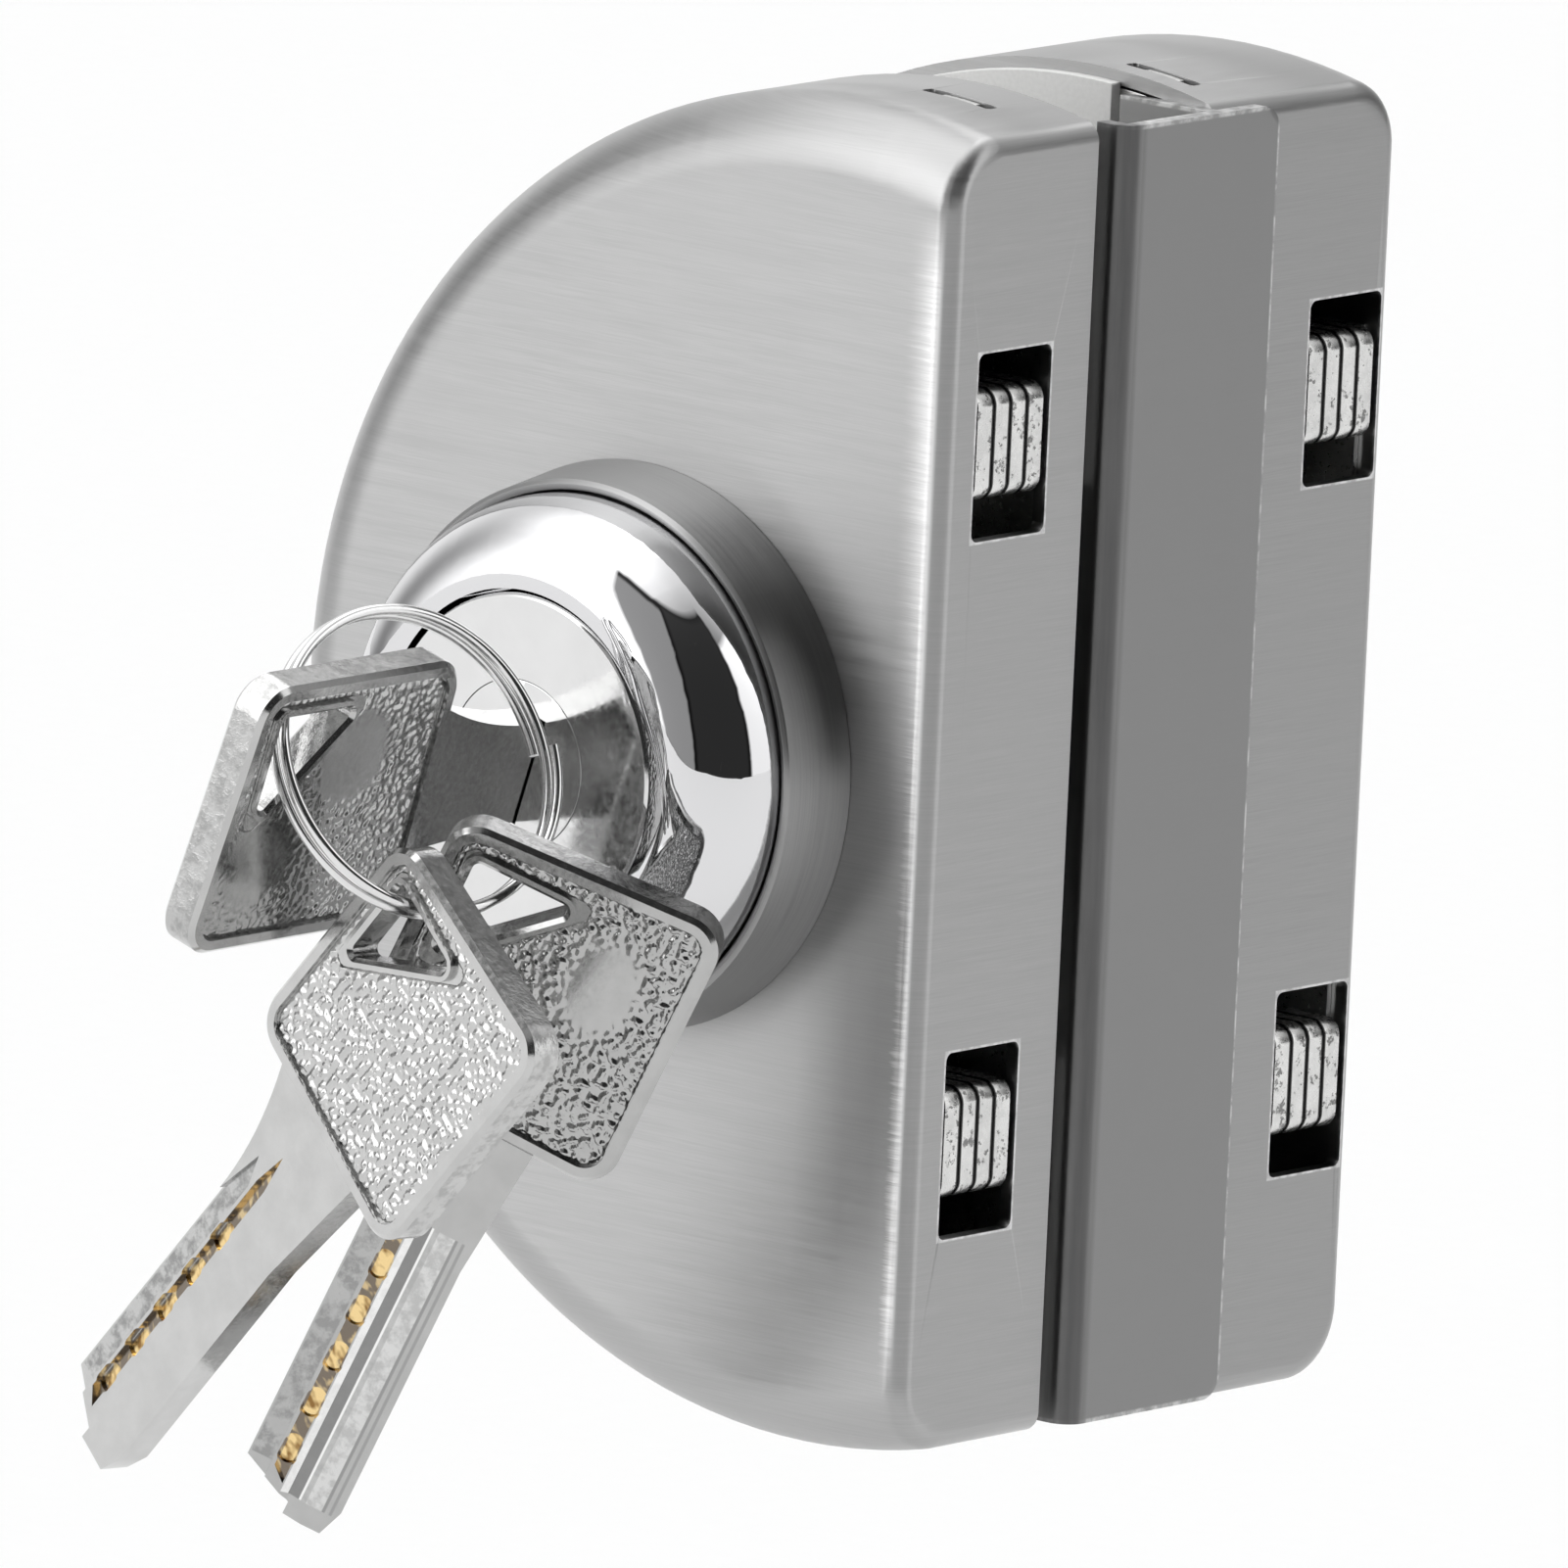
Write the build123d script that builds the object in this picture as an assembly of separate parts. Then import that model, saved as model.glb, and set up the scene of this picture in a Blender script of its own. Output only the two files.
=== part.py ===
from build123d import *
import math
import os

os.makedirs("parts", exist_ok=True)

# A half-moon lock for a frameless glass door, in millimetres.
# Origin: on the mid-plane of the glass, at the centre of the covers' arc.
# +X runs towards the flat side that the bolts leave by, -Y towards the key, +Z up.

# Whole lock
COVER_HEIGHT = 104.4
FLAT_X = 13.4
FRONT_DEPTH = 17.4
REAR_DEPTH = 23.05
GLASS_THICKNESS = 12.0
GASKET_THICKNESS = 1.15
CUT_OVERRUN = 5.0

# Covers
COVER_WALL = 1.2
ARC_ROUND = 5.6
FLAT_ROUND = 1.7
COVER_CLEARANCE = 0.2
WINDOW_HEIGHT = 15.0
WINDOW_WIDTH = 8.8
WINDOW_Z = 27.9
WINDOW_CORNER = 0.7
FRONT_BOLT_OFFSET = 8.98
REAR_BOLT_OFFSET = 17.25
CATCH_SLOT_LENGTH = 7.0
CATCH_SLOT_WIDTH = 1.3
CATCH_LENGTH = 3.6
CATCH_WIDTH = 0.9
CATCH_LEG = 1.0
CATCH_SINK = 0.15
FRONT_CATCH_X = 4.0
REAR_CATCH_X = 5.5
FRONT_CATCH_OFFSET = 6.05
REAR_CATCH_OFFSET = 2.75
COVER_BOSS_RADIUS = 3.2
COVER_BOSS_X = -41.0
COVER_BOSS_Z = 14.0

# Base plates and gaskets
PLATE_THICKNESS = 1.8
PLATE_OPENING_RADIUS = 12.6
GASKET_INSET = 0.9
GLASS_NOTCH_RADIUS = 23.0
M3_RADIUS = 1.5
M3_HEAD_RADIUS = 2.9
M3_HEAD_HEIGHT = 1.4
M3_GRIP = 4.5
SCREW_CLEARANCE = 0.05
DRIVE_SLOT_WIDTH = 0.8
DRIVE_SLOT_DEPTH = 0.6

# Cylinder axis and the turning train
AXIS_X = -17.0
KEY_TURN = 90.0
BOLT_THROW = 12.0
SPINDLE_SIDE = 3.2
SPINDLE_FIT = 0.05
CAM_THICKNESS = 1.7
CAM_HUB_RADIUS = 4.4
CAM_ARM_WIDTH = 5.0
CAM_PIN_RADIUS = 1.25
CAM_PIN_PLAY = 0.32
RUNNING_GAP = 0.2

# Bolts: laminated plates, riveted into one slider for each half
PLATES_IN_A_BOLT = 4
LAMINATION = 2.0
LAMINATION_GAP = 0.12
BOLT_HEIGHT = 8.9
BOLT_CORNER = 1.4
BOLT_TIP_SINK = 0.25
SPINE_LEFT = -7.4
SPINE_WIDTH = 6.0
DRIVE_PLATE_THICKNESS = 1.2
DRIVE_PLATE_HALF_HEIGHT = 14.0
TONGUE_WALL = 1.2
TONGUE_TOP_WALL = 2.4
RIVET_RADIUS = 1.5
RIVET_Z = 10.5
RIVET_HEAD_RADIUS = 2.4
RIVET_HEAD_HEIGHT = 0.4
POST_RADIUS = 2.0
POST_SHOULDER_RADIUS = 3.0
POST_X = 8.2
POST_SLOT_PLAY = 0.1
BOLT_SIDE_GAP = 0.12
FRONT_GUIDE_THICKNESS = 1.0
REAR_GUIDE_THICKNESS = 0.5
GUIDE_LEFT = -5.4
GUIDE_INNER_Z = 17.4
GUIDE_RIGHT_GAP = 0.6

# Clamping through the notch in the glass
CLAMP_CIRCLE_RADIUS = 17.0
QUARTER_ANGLES = (45, 135, 225, 315)
CLAMP_POST_RADIUS = 3.4
CLAMP_POST_SHORT = 2.6
M4_RADIUS = 2.0
M4_HEAD_RADIUS = 3.6
M4_HEAD_HEIGHT = 2.4
M4_THREAD_LENGTH = 8.0

# Strip over the edge of the glass
STRIP_THICKNESS = 1.3
STRIP_FRONT_INSET = 0.87
STRIP_REAR_COVER = 6.32
STRIP_HEIGHT = 104.2
STRIP_ROLL = 2.0
STRIP_FRONT_LEG = 2.0
STRIP_REAR_LEG = 9.0
STRIP_CORNER = 2.0
STRIP_SCREW_X = 8.6
STRIP_SCREW_Z = 39.0

# Rose, dome and cylinder
ROSE_BASE_RADIUS = 22.7
ROSE_TOP_RADIUS = 21.8
ROSE_HEIGHT = 6.7
ROSE_EDGE = 0.35
ROSE_BEVEL_WIDTH = 0.9
ROSE_BEVEL_DEPTH = 0.35
ROSE_FLOOR = 2.0
DOME_TOP_RADIUS = 14.6
DOME_HEIGHT = 14.0
DOME_SHOULDER = 0.3
DOME_GAP = 0.12
DOME_SIDE_SHARE = 0.58
DOME_TOP_SHARE = 0.55
HEAD_RADIUS = 13.65
HEAD_THICKNESS = 8.0
HEAD_EDGE = 0.3
HEAD_GAP = 0.3
BODY_RADIUS = 9.0
BODY_FLAT = 8.2
BODY_FIT = 0.15
BODY_END_GAP = 0.65
RING_NUT_RADIUS = 11.2
RING_NUT_THICKNESS = 2.4
RING_NUT_SLOT = 2.2
PLUG_RADIUS = 6.8
PLUG_FIT = 0.05
PLUG_END_WALL = 1.5
PLUG_BOSS_RADIUS = 2.85
SPINDLE_SOCKET = 2.7
PIN_PITCH = 4.5
PIN_COUNT = 5
PIN_RADIUS = 1.1
PIN_FIT = 0.04
PIN_FIRST_Y = 2.6

# Thumbturn on the rear side
REAR_ROSE_RADIUS = 15.0
REAR_ROSE_HEIGHT = 4.0
REAR_ROSE_EDGE = 1.6
SLEEVE_RADIUS = 8.0
TURN_SHAFT_RADIUS = 5.0
TURN_SHAFT_FIT = 0.05
TURN_SHAFT_TAIL = 0.9
TURN_DISC_RADIUS = 10.5
TURN_DISC_THICKNESS = 3.0
TURN_DISC_ROUND = 1.0
TURN_GAP = 0.3
PADDLE_LENGTH = 21.0
PADDLE_WIDTH = 5.0
PADDLE_HEIGHT = 11.0
PADDLE_ROUND = 2.2
CLIP_THICKNESS = 0.6
CLIP_OUTER_RADIUS = 7.0
CLIP_GROOVE_RADIUS = 4.3
CLIP_GAP = 0.1

# Keys
BOW_LENGTH = 23.2
BOW_WIDTH = 23.2
BOW_LEAN = 1.3
BOW_CORNER = 3.0
BOW_THICKNESS = 3.3
BOW_RIM = 1.2
BOW_FIELD_DEPTH = 0.45
BOW_EDGE = 0.4
KEY_HOLE_INSET = 2.8
KEY_HOLE_LEG = 9.0
KEY_HOLE_CORNER = 0.6
KEY_HOLE_EDGE = 0.35
HOLE_RIM = 0.75
FLARE_SHARE = 0.99
NECK_LENGTH = 12.2
NECK_LOW = 7.3
NECK_HIGH = 5.5
NECK_WAIST = 2.6
BLADE_WIDTH = 8.7
BLADE_LENGTH = 26.0
BLADE_THICKNESS = 2.8
TIP_BEVEL = 3.4
TIP_STEP = 1.1
TIP_LOW = 0.2
TIP_HIGH = 3.5
TIP_SIDE = 2.4
EDGE_GROOVE_WIDTH = 2.0
EDGE_GROOVE_DEPTH = 0.35
EDGE_GROOVE_RUN = 5.3
TRACK_OFFSET = 1.45
TRACK_WIDTH = 1.2
TRACK_DEPTH = 0.5
TRACK_RUN = 7.4
TRACK_POINT = 3.6
TRACK_END_GAP = 2.5
CUT_LENGTH = 1.1
CUT_WIDTH = 1.6
CUT_DEPTH = 0.75
LAND_GROOVE_LOW = -0.75
LAND_GROOVE_FLOOR = 0.0
LAND_GROOVE_HIGH = 1.8
LAND_GROOVE_DEPTH = 0.4
KEYWAY_FIT = 0.15
KEY_LEAN = 17.4

# Split ring
RING_RADIUS = 12.4
RING_WIRE = 0.9
RING_PITCH = 1.35
RING_TURNS = 2
PATH_SHARES = (0, 0.125, 0.25, 0.375, 0.5, 0.625, 0.75, 0.875)

# Where the ring and the loose keys hang: places in millimetres, directions as unit shares
RING_CENTRE = (-11.52, -57.14, 3.2)
RING_AXIS_SHARES = (0.864, -0.211, 0.458)
FRONT_KEY_CENTRE = (-6.4, -62.21, -17.6)
FRONT_KEY_ALONG_SHARES = (-0.663, 0.049, -0.747)
FRONT_KEY_FACE_SHARES = (-0.123, -0.991, 0.044)
REAR_KEY_CENTRE = (-3.19, -51.12, -14.75)
REAR_KEY_ALONG_SHARES = (-0.448, -0.033, -0.893)
REAR_KEY_FACE_SHARES = (0.492, -0.843, -0.216)

# Sizes that follow
HALF_GLASS = GLASS_THICKNESS / 2
RIM_Y = HALF_GLASS + GASKET_THICKNESS
FRONT_FACE = -(RIM_Y + FRONT_DEPTH)
REAR_FACE = RIM_Y + REAR_DEPTH
ARC_RADIUS = math.hypot(COVER_HEIGHT / 2, FLAT_X)
PLATE_FACE = RIM_Y + PLATE_THICKNESS
FRONT_BOLT_Y = -(RIM_Y + FRONT_BOLT_OFFSET)
REAR_BOLT_Y = RIM_Y + REAR_BOLT_OFFSET
FRONT_CATCH_Y = -(RIM_Y + FRONT_CATCH_OFFSET)
REAR_CATCH_Y = RIM_Y + REAR_CATCH_OFFSET
STRIP_FRONT_Y = STRIP_FRONT_INSET - HALF_GLASS
STRIP_REAR_Y = RIM_Y + STRIP_REAR_COVER
PACK_THICKNESS = PLATES_IN_A_BOLT * LAMINATION
CAM_RADIUS = BOLT_THROW / (2 * math.sin(math.radians(KEY_TURN / 2)))
CAM_LOW = CAM_RADIUS * math.cos(math.radians(KEY_TURN / 2))
CAM_REST_X = AXIS_X - BOLT_THROW / 2
DOME_FACE = FRONT_FACE - DOME_HEIGHT
DRIVE_FRONT_Y = -(PLATE_FACE + RUNNING_GAP + DRIVE_PLATE_THICKNESS)
PLUG_REAR = DRIVE_FRONT_Y - RUNNING_GAP
REAR_PACK_INNER = REAR_BOLT_Y - PACK_THICKNESS / 2
FRONT_PACK_INNER = FRONT_BOLT_Y + PACK_THICKNESS / 2
TURN_SHAFT_START = REAR_PACK_INNER + RUNNING_GAP
SLEEVE_END = TURN_SHAFT_START + TURN_SHAFT_TAIL + CLIP_THICKNESS + CLIP_GAP


def along_y(x, y, z):
    """A plane whose drawing axes are X and Z, and whose extrusions run towards +Y."""
    return Plane(origin=(x, y, z), x_dir=(1, 0, 0), z_dir=(0, 1, 0))


def on_y(sketch, y0, y1, x=0, z=0):
    """A drawing that is the same above and below its own X axis, extruded from y0 to y1."""
    return extrude(along_y(x, y0, z) * sketch, y1 - y0)


def rod(radius, y0, y1, x, z):
    return on_y(Circle(radius), y0, y1, x, z)


def block(x0, x1, y0, y1, z0, z1):
    return Pos((x0 + x1) / 2, (y0 + y1) / 2, (z0 + z1) / 2) * Box(x1 - x0, y1 - y0, z1 - z0)


def turned(points, x):
    """A closed profile of (radius, y) corners, turned about the Y axis through x."""
    face = make_face(Polyline(*[(r, y, 0) for r, y in points], close=True))
    return Pos(x, 0, 0) * revolve(face, Axis.Y)


def save(name, *solids):
    shape = solids[0] if len(solids) == 1 else Compound(children=list(solids))
    export_step(shape, f"parts/{name}.step")


def half_moon(radius, flat, y_rim, y_face, corner, rounded=True):
    """A solid half-moon, its face edge rounded or chamfered along the arc, cut off flat at x = flat."""
    away = 1 if y_face > y_rim else -1
    low_end, high_end = (radius, y_face - away * corner), (radius - corner, y_face)
    inset = corner * (1 - math.cos(math.radians(45)))
    middle = (radius - inset, y_face - away * inset)
    rim = Polyline((0, y_face), (0, y_rim), (radius, y_rim), low_end)
    edge = ThreePointArc(low_end, middle, high_end) if rounded else Line(low_end, high_end)
    close = Line(high_end, (0, y_face))
    disc = revolve(make_face([*rim.edges(), *edge.edges(), *close.edges()]), Axis.Y)
    low, high = min(y_rim, y_face) - CUT_OVERRUN, max(y_rim, y_face) + CUT_OVERRUN
    return disc - block(flat, radius + CUT_OVERRUN, low, high, -radius - CUT_OVERRUN, radius + CUT_OVERRUN)


def moon_sheet(radius, flat, y0, y1):
    """A flat half-moon between two planes."""
    disc = rod(radius, y0, y1, 0, 0)
    return disc - block(flat, radius + CUT_OVERRUN, y0 - CUT_OVERRUN, y1 + CUT_OVERRUN,
                        -radius - CUT_OVERRUN, radius + CUT_OVERRUN)


def catch_slot(x, y, sign):
    """The slot in the curved wall that a catch of the base plate snaps into."""
    wall = math.sqrt(ARC_RADIUS ** 2 - x ** 2)
    slot = Pos(x, y, sign * wall) * Box(CATCH_SLOT_LENGTH, CATCH_SLOT_WIDTH, 2 * COVER_WALL + CUT_OVERRUN)
    return fillet(slot.edges().filter_by(Axis.Z), CATCH_SLOT_WIDTH / 3)


def cover(away, y_face, bolt_y, catch_x, catch_y, hole):
    """One stainless shell: away is -1 for the front half and +1 for the rear half."""
    rim = away * RIM_Y
    shell = half_moon(ARC_RADIUS, FLAT_X, rim, y_face, ARC_ROUND)
    side = shell.faces().sort_by(Axis.X)[-1]
    edges = [e for e in side.edges() if abs(e.center().Y - rim) > COVER_WALL]
    shell = fillet(edges, FLAT_ROUND)
    inside = half_moon(ARC_RADIUS - COVER_WALL, FLAT_X - COVER_WALL, rim - away * CUT_OVERRUN,
                       y_face - away * COVER_WALL, ARC_ROUND - COVER_WALL, rounded=False)
    shell -= inside
    for sign in (-1, 1):
        opening = Box(2 * COVER_WALL + CUT_OVERRUN, WINDOW_WIDTH, WINDOW_HEIGHT)
        window = Pos(FLAT_X, bolt_y, sign * WINDOW_Z) * opening
        shell -= fillet(window.edges().filter_by(Axis.X), WINDOW_CORNER)
        shell -= catch_slot(catch_x, catch_y, sign)
        y_in, y_out = away * (PLATE_FACE + COVER_CLEARANCE), y_face - away * COVER_WALL
        boss = rod(COVER_BOSS_RADIUS, min(y_in, y_out), max(y_in, y_out), COVER_BOSS_X, sign * COVER_BOSS_Z)
        grip_end = away * (PLATE_FACE + M3_GRIP)
        boss -= rod(M3_RADIUS + SCREW_CLEARANCE, min(y_in, grip_end), max(y_in, grip_end),
                    COVER_BOSS_X, sign * COVER_BOSS_Z)
        shell += boss
    return shell - hole


def body_outline(radius, flat):
    return Circle(radius) & Rectangle(2 * radius, 2 * flat)


def clamp_places():
    for turn in QUARTER_ANGLES:
        a = math.radians(turn)
        yield AXIS_X + CLAMP_CIRCLE_RADIUS * math.cos(a), CLAMP_CIRCLE_RADIUS * math.sin(a)


def countersunk(x, z, y_head, towards, length):
    """A countersunk screw with a slotted head: towards is the way its shank runs along Y."""
    y_neck, y_end = y_head + towards * M3_HEAD_HEIGHT, y_head + towards * length
    profile = [(0, y_head), (M3_HEAD_RADIUS, y_head), (M3_RADIUS, y_neck), (M3_RADIUS, y_end), (0, y_end)]
    screw = Pos(0, 0, z) * turned(profile, x)
    y_slot = y_head + towards * DRIVE_SLOT_DEPTH
    return screw - block(x - M3_HEAD_RADIUS, x + M3_HEAD_RADIUS, min(y_head, y_slot), max(y_head, y_slot),
                         z - DRIVE_SLOT_WIDTH / 2, z + DRIVE_SLOT_WIDTH / 2)


def countersunk_hole(x, z, y_head, towards, length):
    gap = SCREW_CLEARANCE
    y_neck, y_end = y_head + towards * M3_HEAD_HEIGHT, y_head + towards * (length + CUT_OVERRUN)
    profile = [(0, y_head), (M3_HEAD_RADIUS + gap, y_head), (M3_RADIUS + gap, y_neck),
               (M3_RADIUS + gap, y_end), (0, y_end)]
    return Pos(0, 0, z) * turned(profile, x)


def base_plate(away, catch_x, catch_y):
    """The plate that closes a half towards the glass, with its two catches and its holes."""
    y_in, y_out = away * RIM_Y, away * PLATE_FACE
    low, high = min(y_in, y_out), max(y_in, y_out)
    inner = ARC_RADIUS - COVER_WALL - COVER_CLEARANCE
    plate = moon_sheet(inner, FLAT_X - COVER_WALL - COVER_CLEARANCE, low, high)
    plate -= rod(PLATE_OPENING_RADIUS, low - CUT_OVERRUN, high + CUT_OVERRUN, AXIS_X, 0)
    for x, z in clamp_places():
        plate -= rod(M4_RADIUS + SCREW_CLEARANCE, low - CUT_OVERRUN, high + CUT_OVERRUN, x, z)
    leg_end = catch_y + away * CATCH_SLOT_WIDTH
    leg = rod(inner, min(y_in, leg_end), max(y_in, leg_end), 0, 0)
    leg -= rod(inner - CATCH_LEG, min(y_in, leg_end) - CUT_OVERRUN, max(y_in, leg_end) + CUT_OVERRUN, 0, 0)
    nib = rod(ARC_RADIUS - CATCH_SINK, catch_y - CATCH_WIDTH / 2, catch_y + CATCH_WIDTH / 2, 0, 0)
    nib -= rod(inner - CATCH_LEG, catch_y - CUT_OVERRUN, catch_y + CUT_OVERRUN, 0, 0)
    for sign in (-1, 1):
        span = block(catch_x - CATCH_LENGTH / 2, catch_x + CATCH_LENGTH / 2,
                     -2 * abs(leg_end), 2 * abs(leg_end), *sorted((0, sign * 2 * ARC_RADIUS)))
        plate += (leg + nib) & span
        plate -= countersunk_hole(COVER_BOSS_X, sign * COVER_BOSS_Z, y_in, away, M3_GRIP)
        plate -= rod(POST_RADIUS + SCREW_CLEARANCE, low - CUT_OVERRUN, high + CUT_OVERRUN,
                     POST_X, sign * WINDOW_Z)
        if away > 0:
            plate -= countersunk_hole(STRIP_SCREW_X, sign * STRIP_SCREW_Z, HALF_GLASS, 1, M3_GRIP)
    return plate


def gasket(away, flat):
    """The soft sheet between a half and the glass, open where the glass is notched."""
    low, high = sorted((away * HALF_GLASS, away * RIM_Y))
    sheet = moon_sheet(ARC_RADIUS - GASKET_INSET, flat, low, high)
    sheet -= rod(GLASS_NOTCH_RADIUS, low - CUT_OVERRUN, high + CUT_OVERRUN, AXIS_X, 0)
    return sheet - block(AXIS_X, FLAT_X + CUT_OVERRUN, low - CUT_OVERRUN, high + CUT_OVERRUN,
                         -GLASS_NOTCH_RADIUS, GLASS_NOTCH_RADIUS)


def bolt_outline():
    """One lamination: a C whose two prongs leave by the windows, slotted for the guide posts."""
    tip = FLAT_X - BOLT_TIP_SINK
    top = WINDOW_Z + BOLT_HEIGHT / 2
    outline = Pos((SPINE_LEFT + tip) / 2, 0) * Rectangle(tip - SPINE_LEFT, 2 * top)
    inner_right = tip - SPINE_LEFT - SPINE_WIDTH
    gap = 2 * (top - BOLT_HEIGHT)
    outline -= Pos(SPINE_LEFT + SPINE_WIDTH + inner_right, 0) * Rectangle(2 * inner_right, gap)
    outline = fillet(outline.vertices().group_by(Axis.X)[-1], BOLT_CORNER)
    slot_height = 2 * (POST_RADIUS + POST_SLOT_PLAY)
    run = BOLT_THROW + 2 * POST_SLOT_PLAY
    for sign in (-1, 1):
        outline -= Pos(POST_X - BOLT_THROW / 2, sign * WINDOW_Z) * SlotCenterToCenter(run, slot_height)
        outline -= Pos(SPINE_LEFT + SPINE_WIDTH / 2, sign * RIVET_Z) * Circle(RIVET_RADIUS + SCREW_CLEARANCE)
    return outline


def laminations(y0):
    """The plates of one pack, from its -Y face on."""
    for n in range(PLATES_IN_A_BOLT):
        start = y0 + n * LAMINATION + LAMINATION_GAP / 2
        yield on_y(bolt_outline(), start, start + LAMINATION - LAMINATION_GAP)


def drive_plate(y0):
    """The plate whose tongue the cam's pin pushes along."""
    low = CAM_LOW - CAM_PIN_RADIUS - CAM_PIN_PLAY - TONGUE_WALL
    high = CAM_RADIUS + CAM_PIN_RADIUS + CAM_PIN_PLAY + TONGUE_TOP_WALL
    left = CAM_REST_X - CAM_PIN_RADIUS - CAM_PIN_PLAY - TONGUE_TOP_WALL
    right = SPINE_LEFT + SPINE_WIDTH
    y1 = y0 + DRIVE_PLATE_THICKNESS
    plate = block(left, right, y0, y1, low, high)
    plate += block(SPINE_LEFT, right, y0, y1, -DRIVE_PLATE_HALF_HEIGHT, DRIVE_PLATE_HALF_HEIGHT)
    slot_half = CAM_PIN_RADIUS + CAM_PIN_PLAY
    plate -= block(CAM_REST_X - slot_half, CAM_REST_X + slot_half, y0 - CUT_OVERRUN, y1 + CUT_OVERRUN,
                   low + TONGUE_WALL, high - TONGUE_TOP_WALL)
    for sign in (-1, 1):
        plate -= rod(RIVET_RADIUS + SCREW_CLEARANCE, y0 - CUT_OVERRUN, y1 + CUT_OVERRUN,
                     SPINE_LEFT + SPINE_WIDTH / 2, sign * RIVET_Z)
    return plate


def rivets(away, y_pack, y_end):
    """Two rivets with a flat head on the face of the pack, flush with the drive plate at the other end."""
    x = SPINE_LEFT + SPINE_WIDTH / 2
    y_head = y_pack + away * RIVET_HEAD_HEIGHT
    for sign in (-1, 1):
        z = sign * RIVET_Z
        shank = rod(RIVET_RADIUS, *sorted((y_head, y_end)), x, z)
        yield shank + rod(RIVET_HEAD_RADIUS, *sorted((y_head, y_pack)), x, z)


def spacers(y0, y1):
    """Tubes on the rivets that hold the drive plate off the pack."""
    x = SPINE_LEFT + SPINE_WIDTH / 2
    for sign in (-1, 1):
        z = sign * RIVET_Z
        yield rod(RIVET_HEAD_RADIUS, y0, y1, x, z) - rod(RIVET_RADIUS + SCREW_CLEARANCE, y0, y1, x, z)


def guide_posts(away, y_shoulder, y_end):
    """Shouldered posts riveted into the base plate: the laminations slide along them."""
    for sign in (-1, 1):
        z = sign * WINDOW_Z
        start, face = away * RIM_Y, away * PLATE_FACE
        pin = rod(POST_RADIUS, min(start, y_end), max(start, y_end), POST_X, z)
        yield pin + rod(POST_SHOULDER_RADIUS, min(face, y_shoulder), max(face, y_shoulder), POST_X, z)


def guide_pads(y0, y1):
    """The pads that keep the laminations on their posts, one for each prong."""
    right = FLAT_X - COVER_WALL - GUIDE_RIGHT_GAP
    top = WINDOW_Z + BOLT_HEIGHT / 2
    for sign in (-1, 1):
        pad = block(GUIDE_LEFT, right, y0, y1, *sorted((sign * GUIDE_INNER_Z, sign * top)))
        yield pad - rod(POST_RADIUS + SCREW_CLEARANCE, y0 - CUT_OVERRUN, y1 + CUT_OVERRUN,
                        POST_X, sign * WINDOW_Z)


def cam(y0, pin_end):
    """A flat arm on the square spindle. Its pin stands half the throw behind the axis at rest."""
    y1 = y0 + CAM_THICKNESS
    pin_x, pin_z = CAM_REST_X, CAM_LOW
    hub = rod(CAM_HUB_RADIUS, y0, y1, AXIS_X, 0)
    arm = Rot(0, -KEY_TURN / 2, 0) * block(-CAM_ARM_WIDTH / 2, CAM_ARM_WIDTH / 2, y0, y1, 0, CAM_RADIUS)
    eye = rod(CAM_ARM_WIDTH / 2, y0, y1, pin_x, pin_z)
    shape = hub + Pos(AXIS_X, 0, 0) * arm + eye
    half = SPINDLE_SIDE / 2 + SPINDLE_FIT
    shape -= block(AXIS_X - half, AXIS_X + half, y0 - CUT_OVERRUN, y1 + CUT_OVERRUN, -half, half)
    return shape + rod(CAM_PIN_RADIUS, min(y0, pin_end), max(y1, pin_end), pin_x, pin_z)


def clamp_parts():
    """Threaded posts staked into the front plate, and the screws that pull the rear half onto the glass."""
    posts, screws = [], []
    post_end = RIM_Y - CLAMP_POST_SHORT
    for x, z in clamp_places():
        post = rod(CLAMP_POST_RADIUS, -RIM_Y, post_end, x, z) + rod(M4_RADIUS, -PLATE_FACE, -RIM_Y, x, z)
        bore_start = post_end - M4_THREAD_LENGTH
        posts.append(post - rod(M4_RADIUS + SCREW_CLEARANCE, bore_start, post_end, x, z))
        head = rod(M4_HEAD_RADIUS, PLATE_FACE, PLATE_FACE + M4_HEAD_HEIGHT, x, z)
        tip = bore_start + COVER_CLEARANCE
        screw = head + rod(M4_RADIUS, tip, PLATE_FACE, x, z)
        drive = Pos(x, PLATE_FACE + M4_HEAD_HEIGHT, z) * Rot(-90, 0, 0) * extrude(
            RegularPolygon(M4_RADIUS, 6), -M4_HEAD_HEIGHT / 2)
        screws.append(screw - drive)
    return posts, screws


def edge_strip():
    """The bent stainless strip that hides the edge of the glass and its notch."""
    t = STRIP_THICKNESS
    outer = FLAT_X + t
    panel = block(FLAT_X, outer, STRIP_FRONT_Y, STRIP_REAR_Y, -STRIP_HEIGHT / 2, STRIP_HEIGHT / 2)
    rear_edges = panel.edges().filter_by(Axis.X).group_by(Axis.Y)[-1]
    panel = fillet(rear_edges, STRIP_CORNER)
    front_leg = block(FLAT_X - STRIP_FRONT_LEG, FLAT_X, STRIP_FRONT_Y, STRIP_FRONT_Y + t,
                      -STRIP_HEIGHT / 2, STRIP_HEIGHT / 2)
    rear_leg = block(FLAT_X - STRIP_REAR_LEG, FLAT_X, HALF_GLASS, RIM_Y, -STRIP_HEIGHT / 2, STRIP_HEIGHT / 2)
    strip = panel + front_leg + rear_leg
    roll = strip.edges().filter_by(Axis.Z).group_by(Axis.Y)[0]
    strip = fillet(roll.sort_by(Axis.X)[-1], STRIP_ROLL)
    for sign in (-1, 1):
        strip -= countersunk_hole(STRIP_SCREW_X, sign * STRIP_SCREW_Z, HALF_GLASS, 1, M3_GRIP)
    return strip


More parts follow.
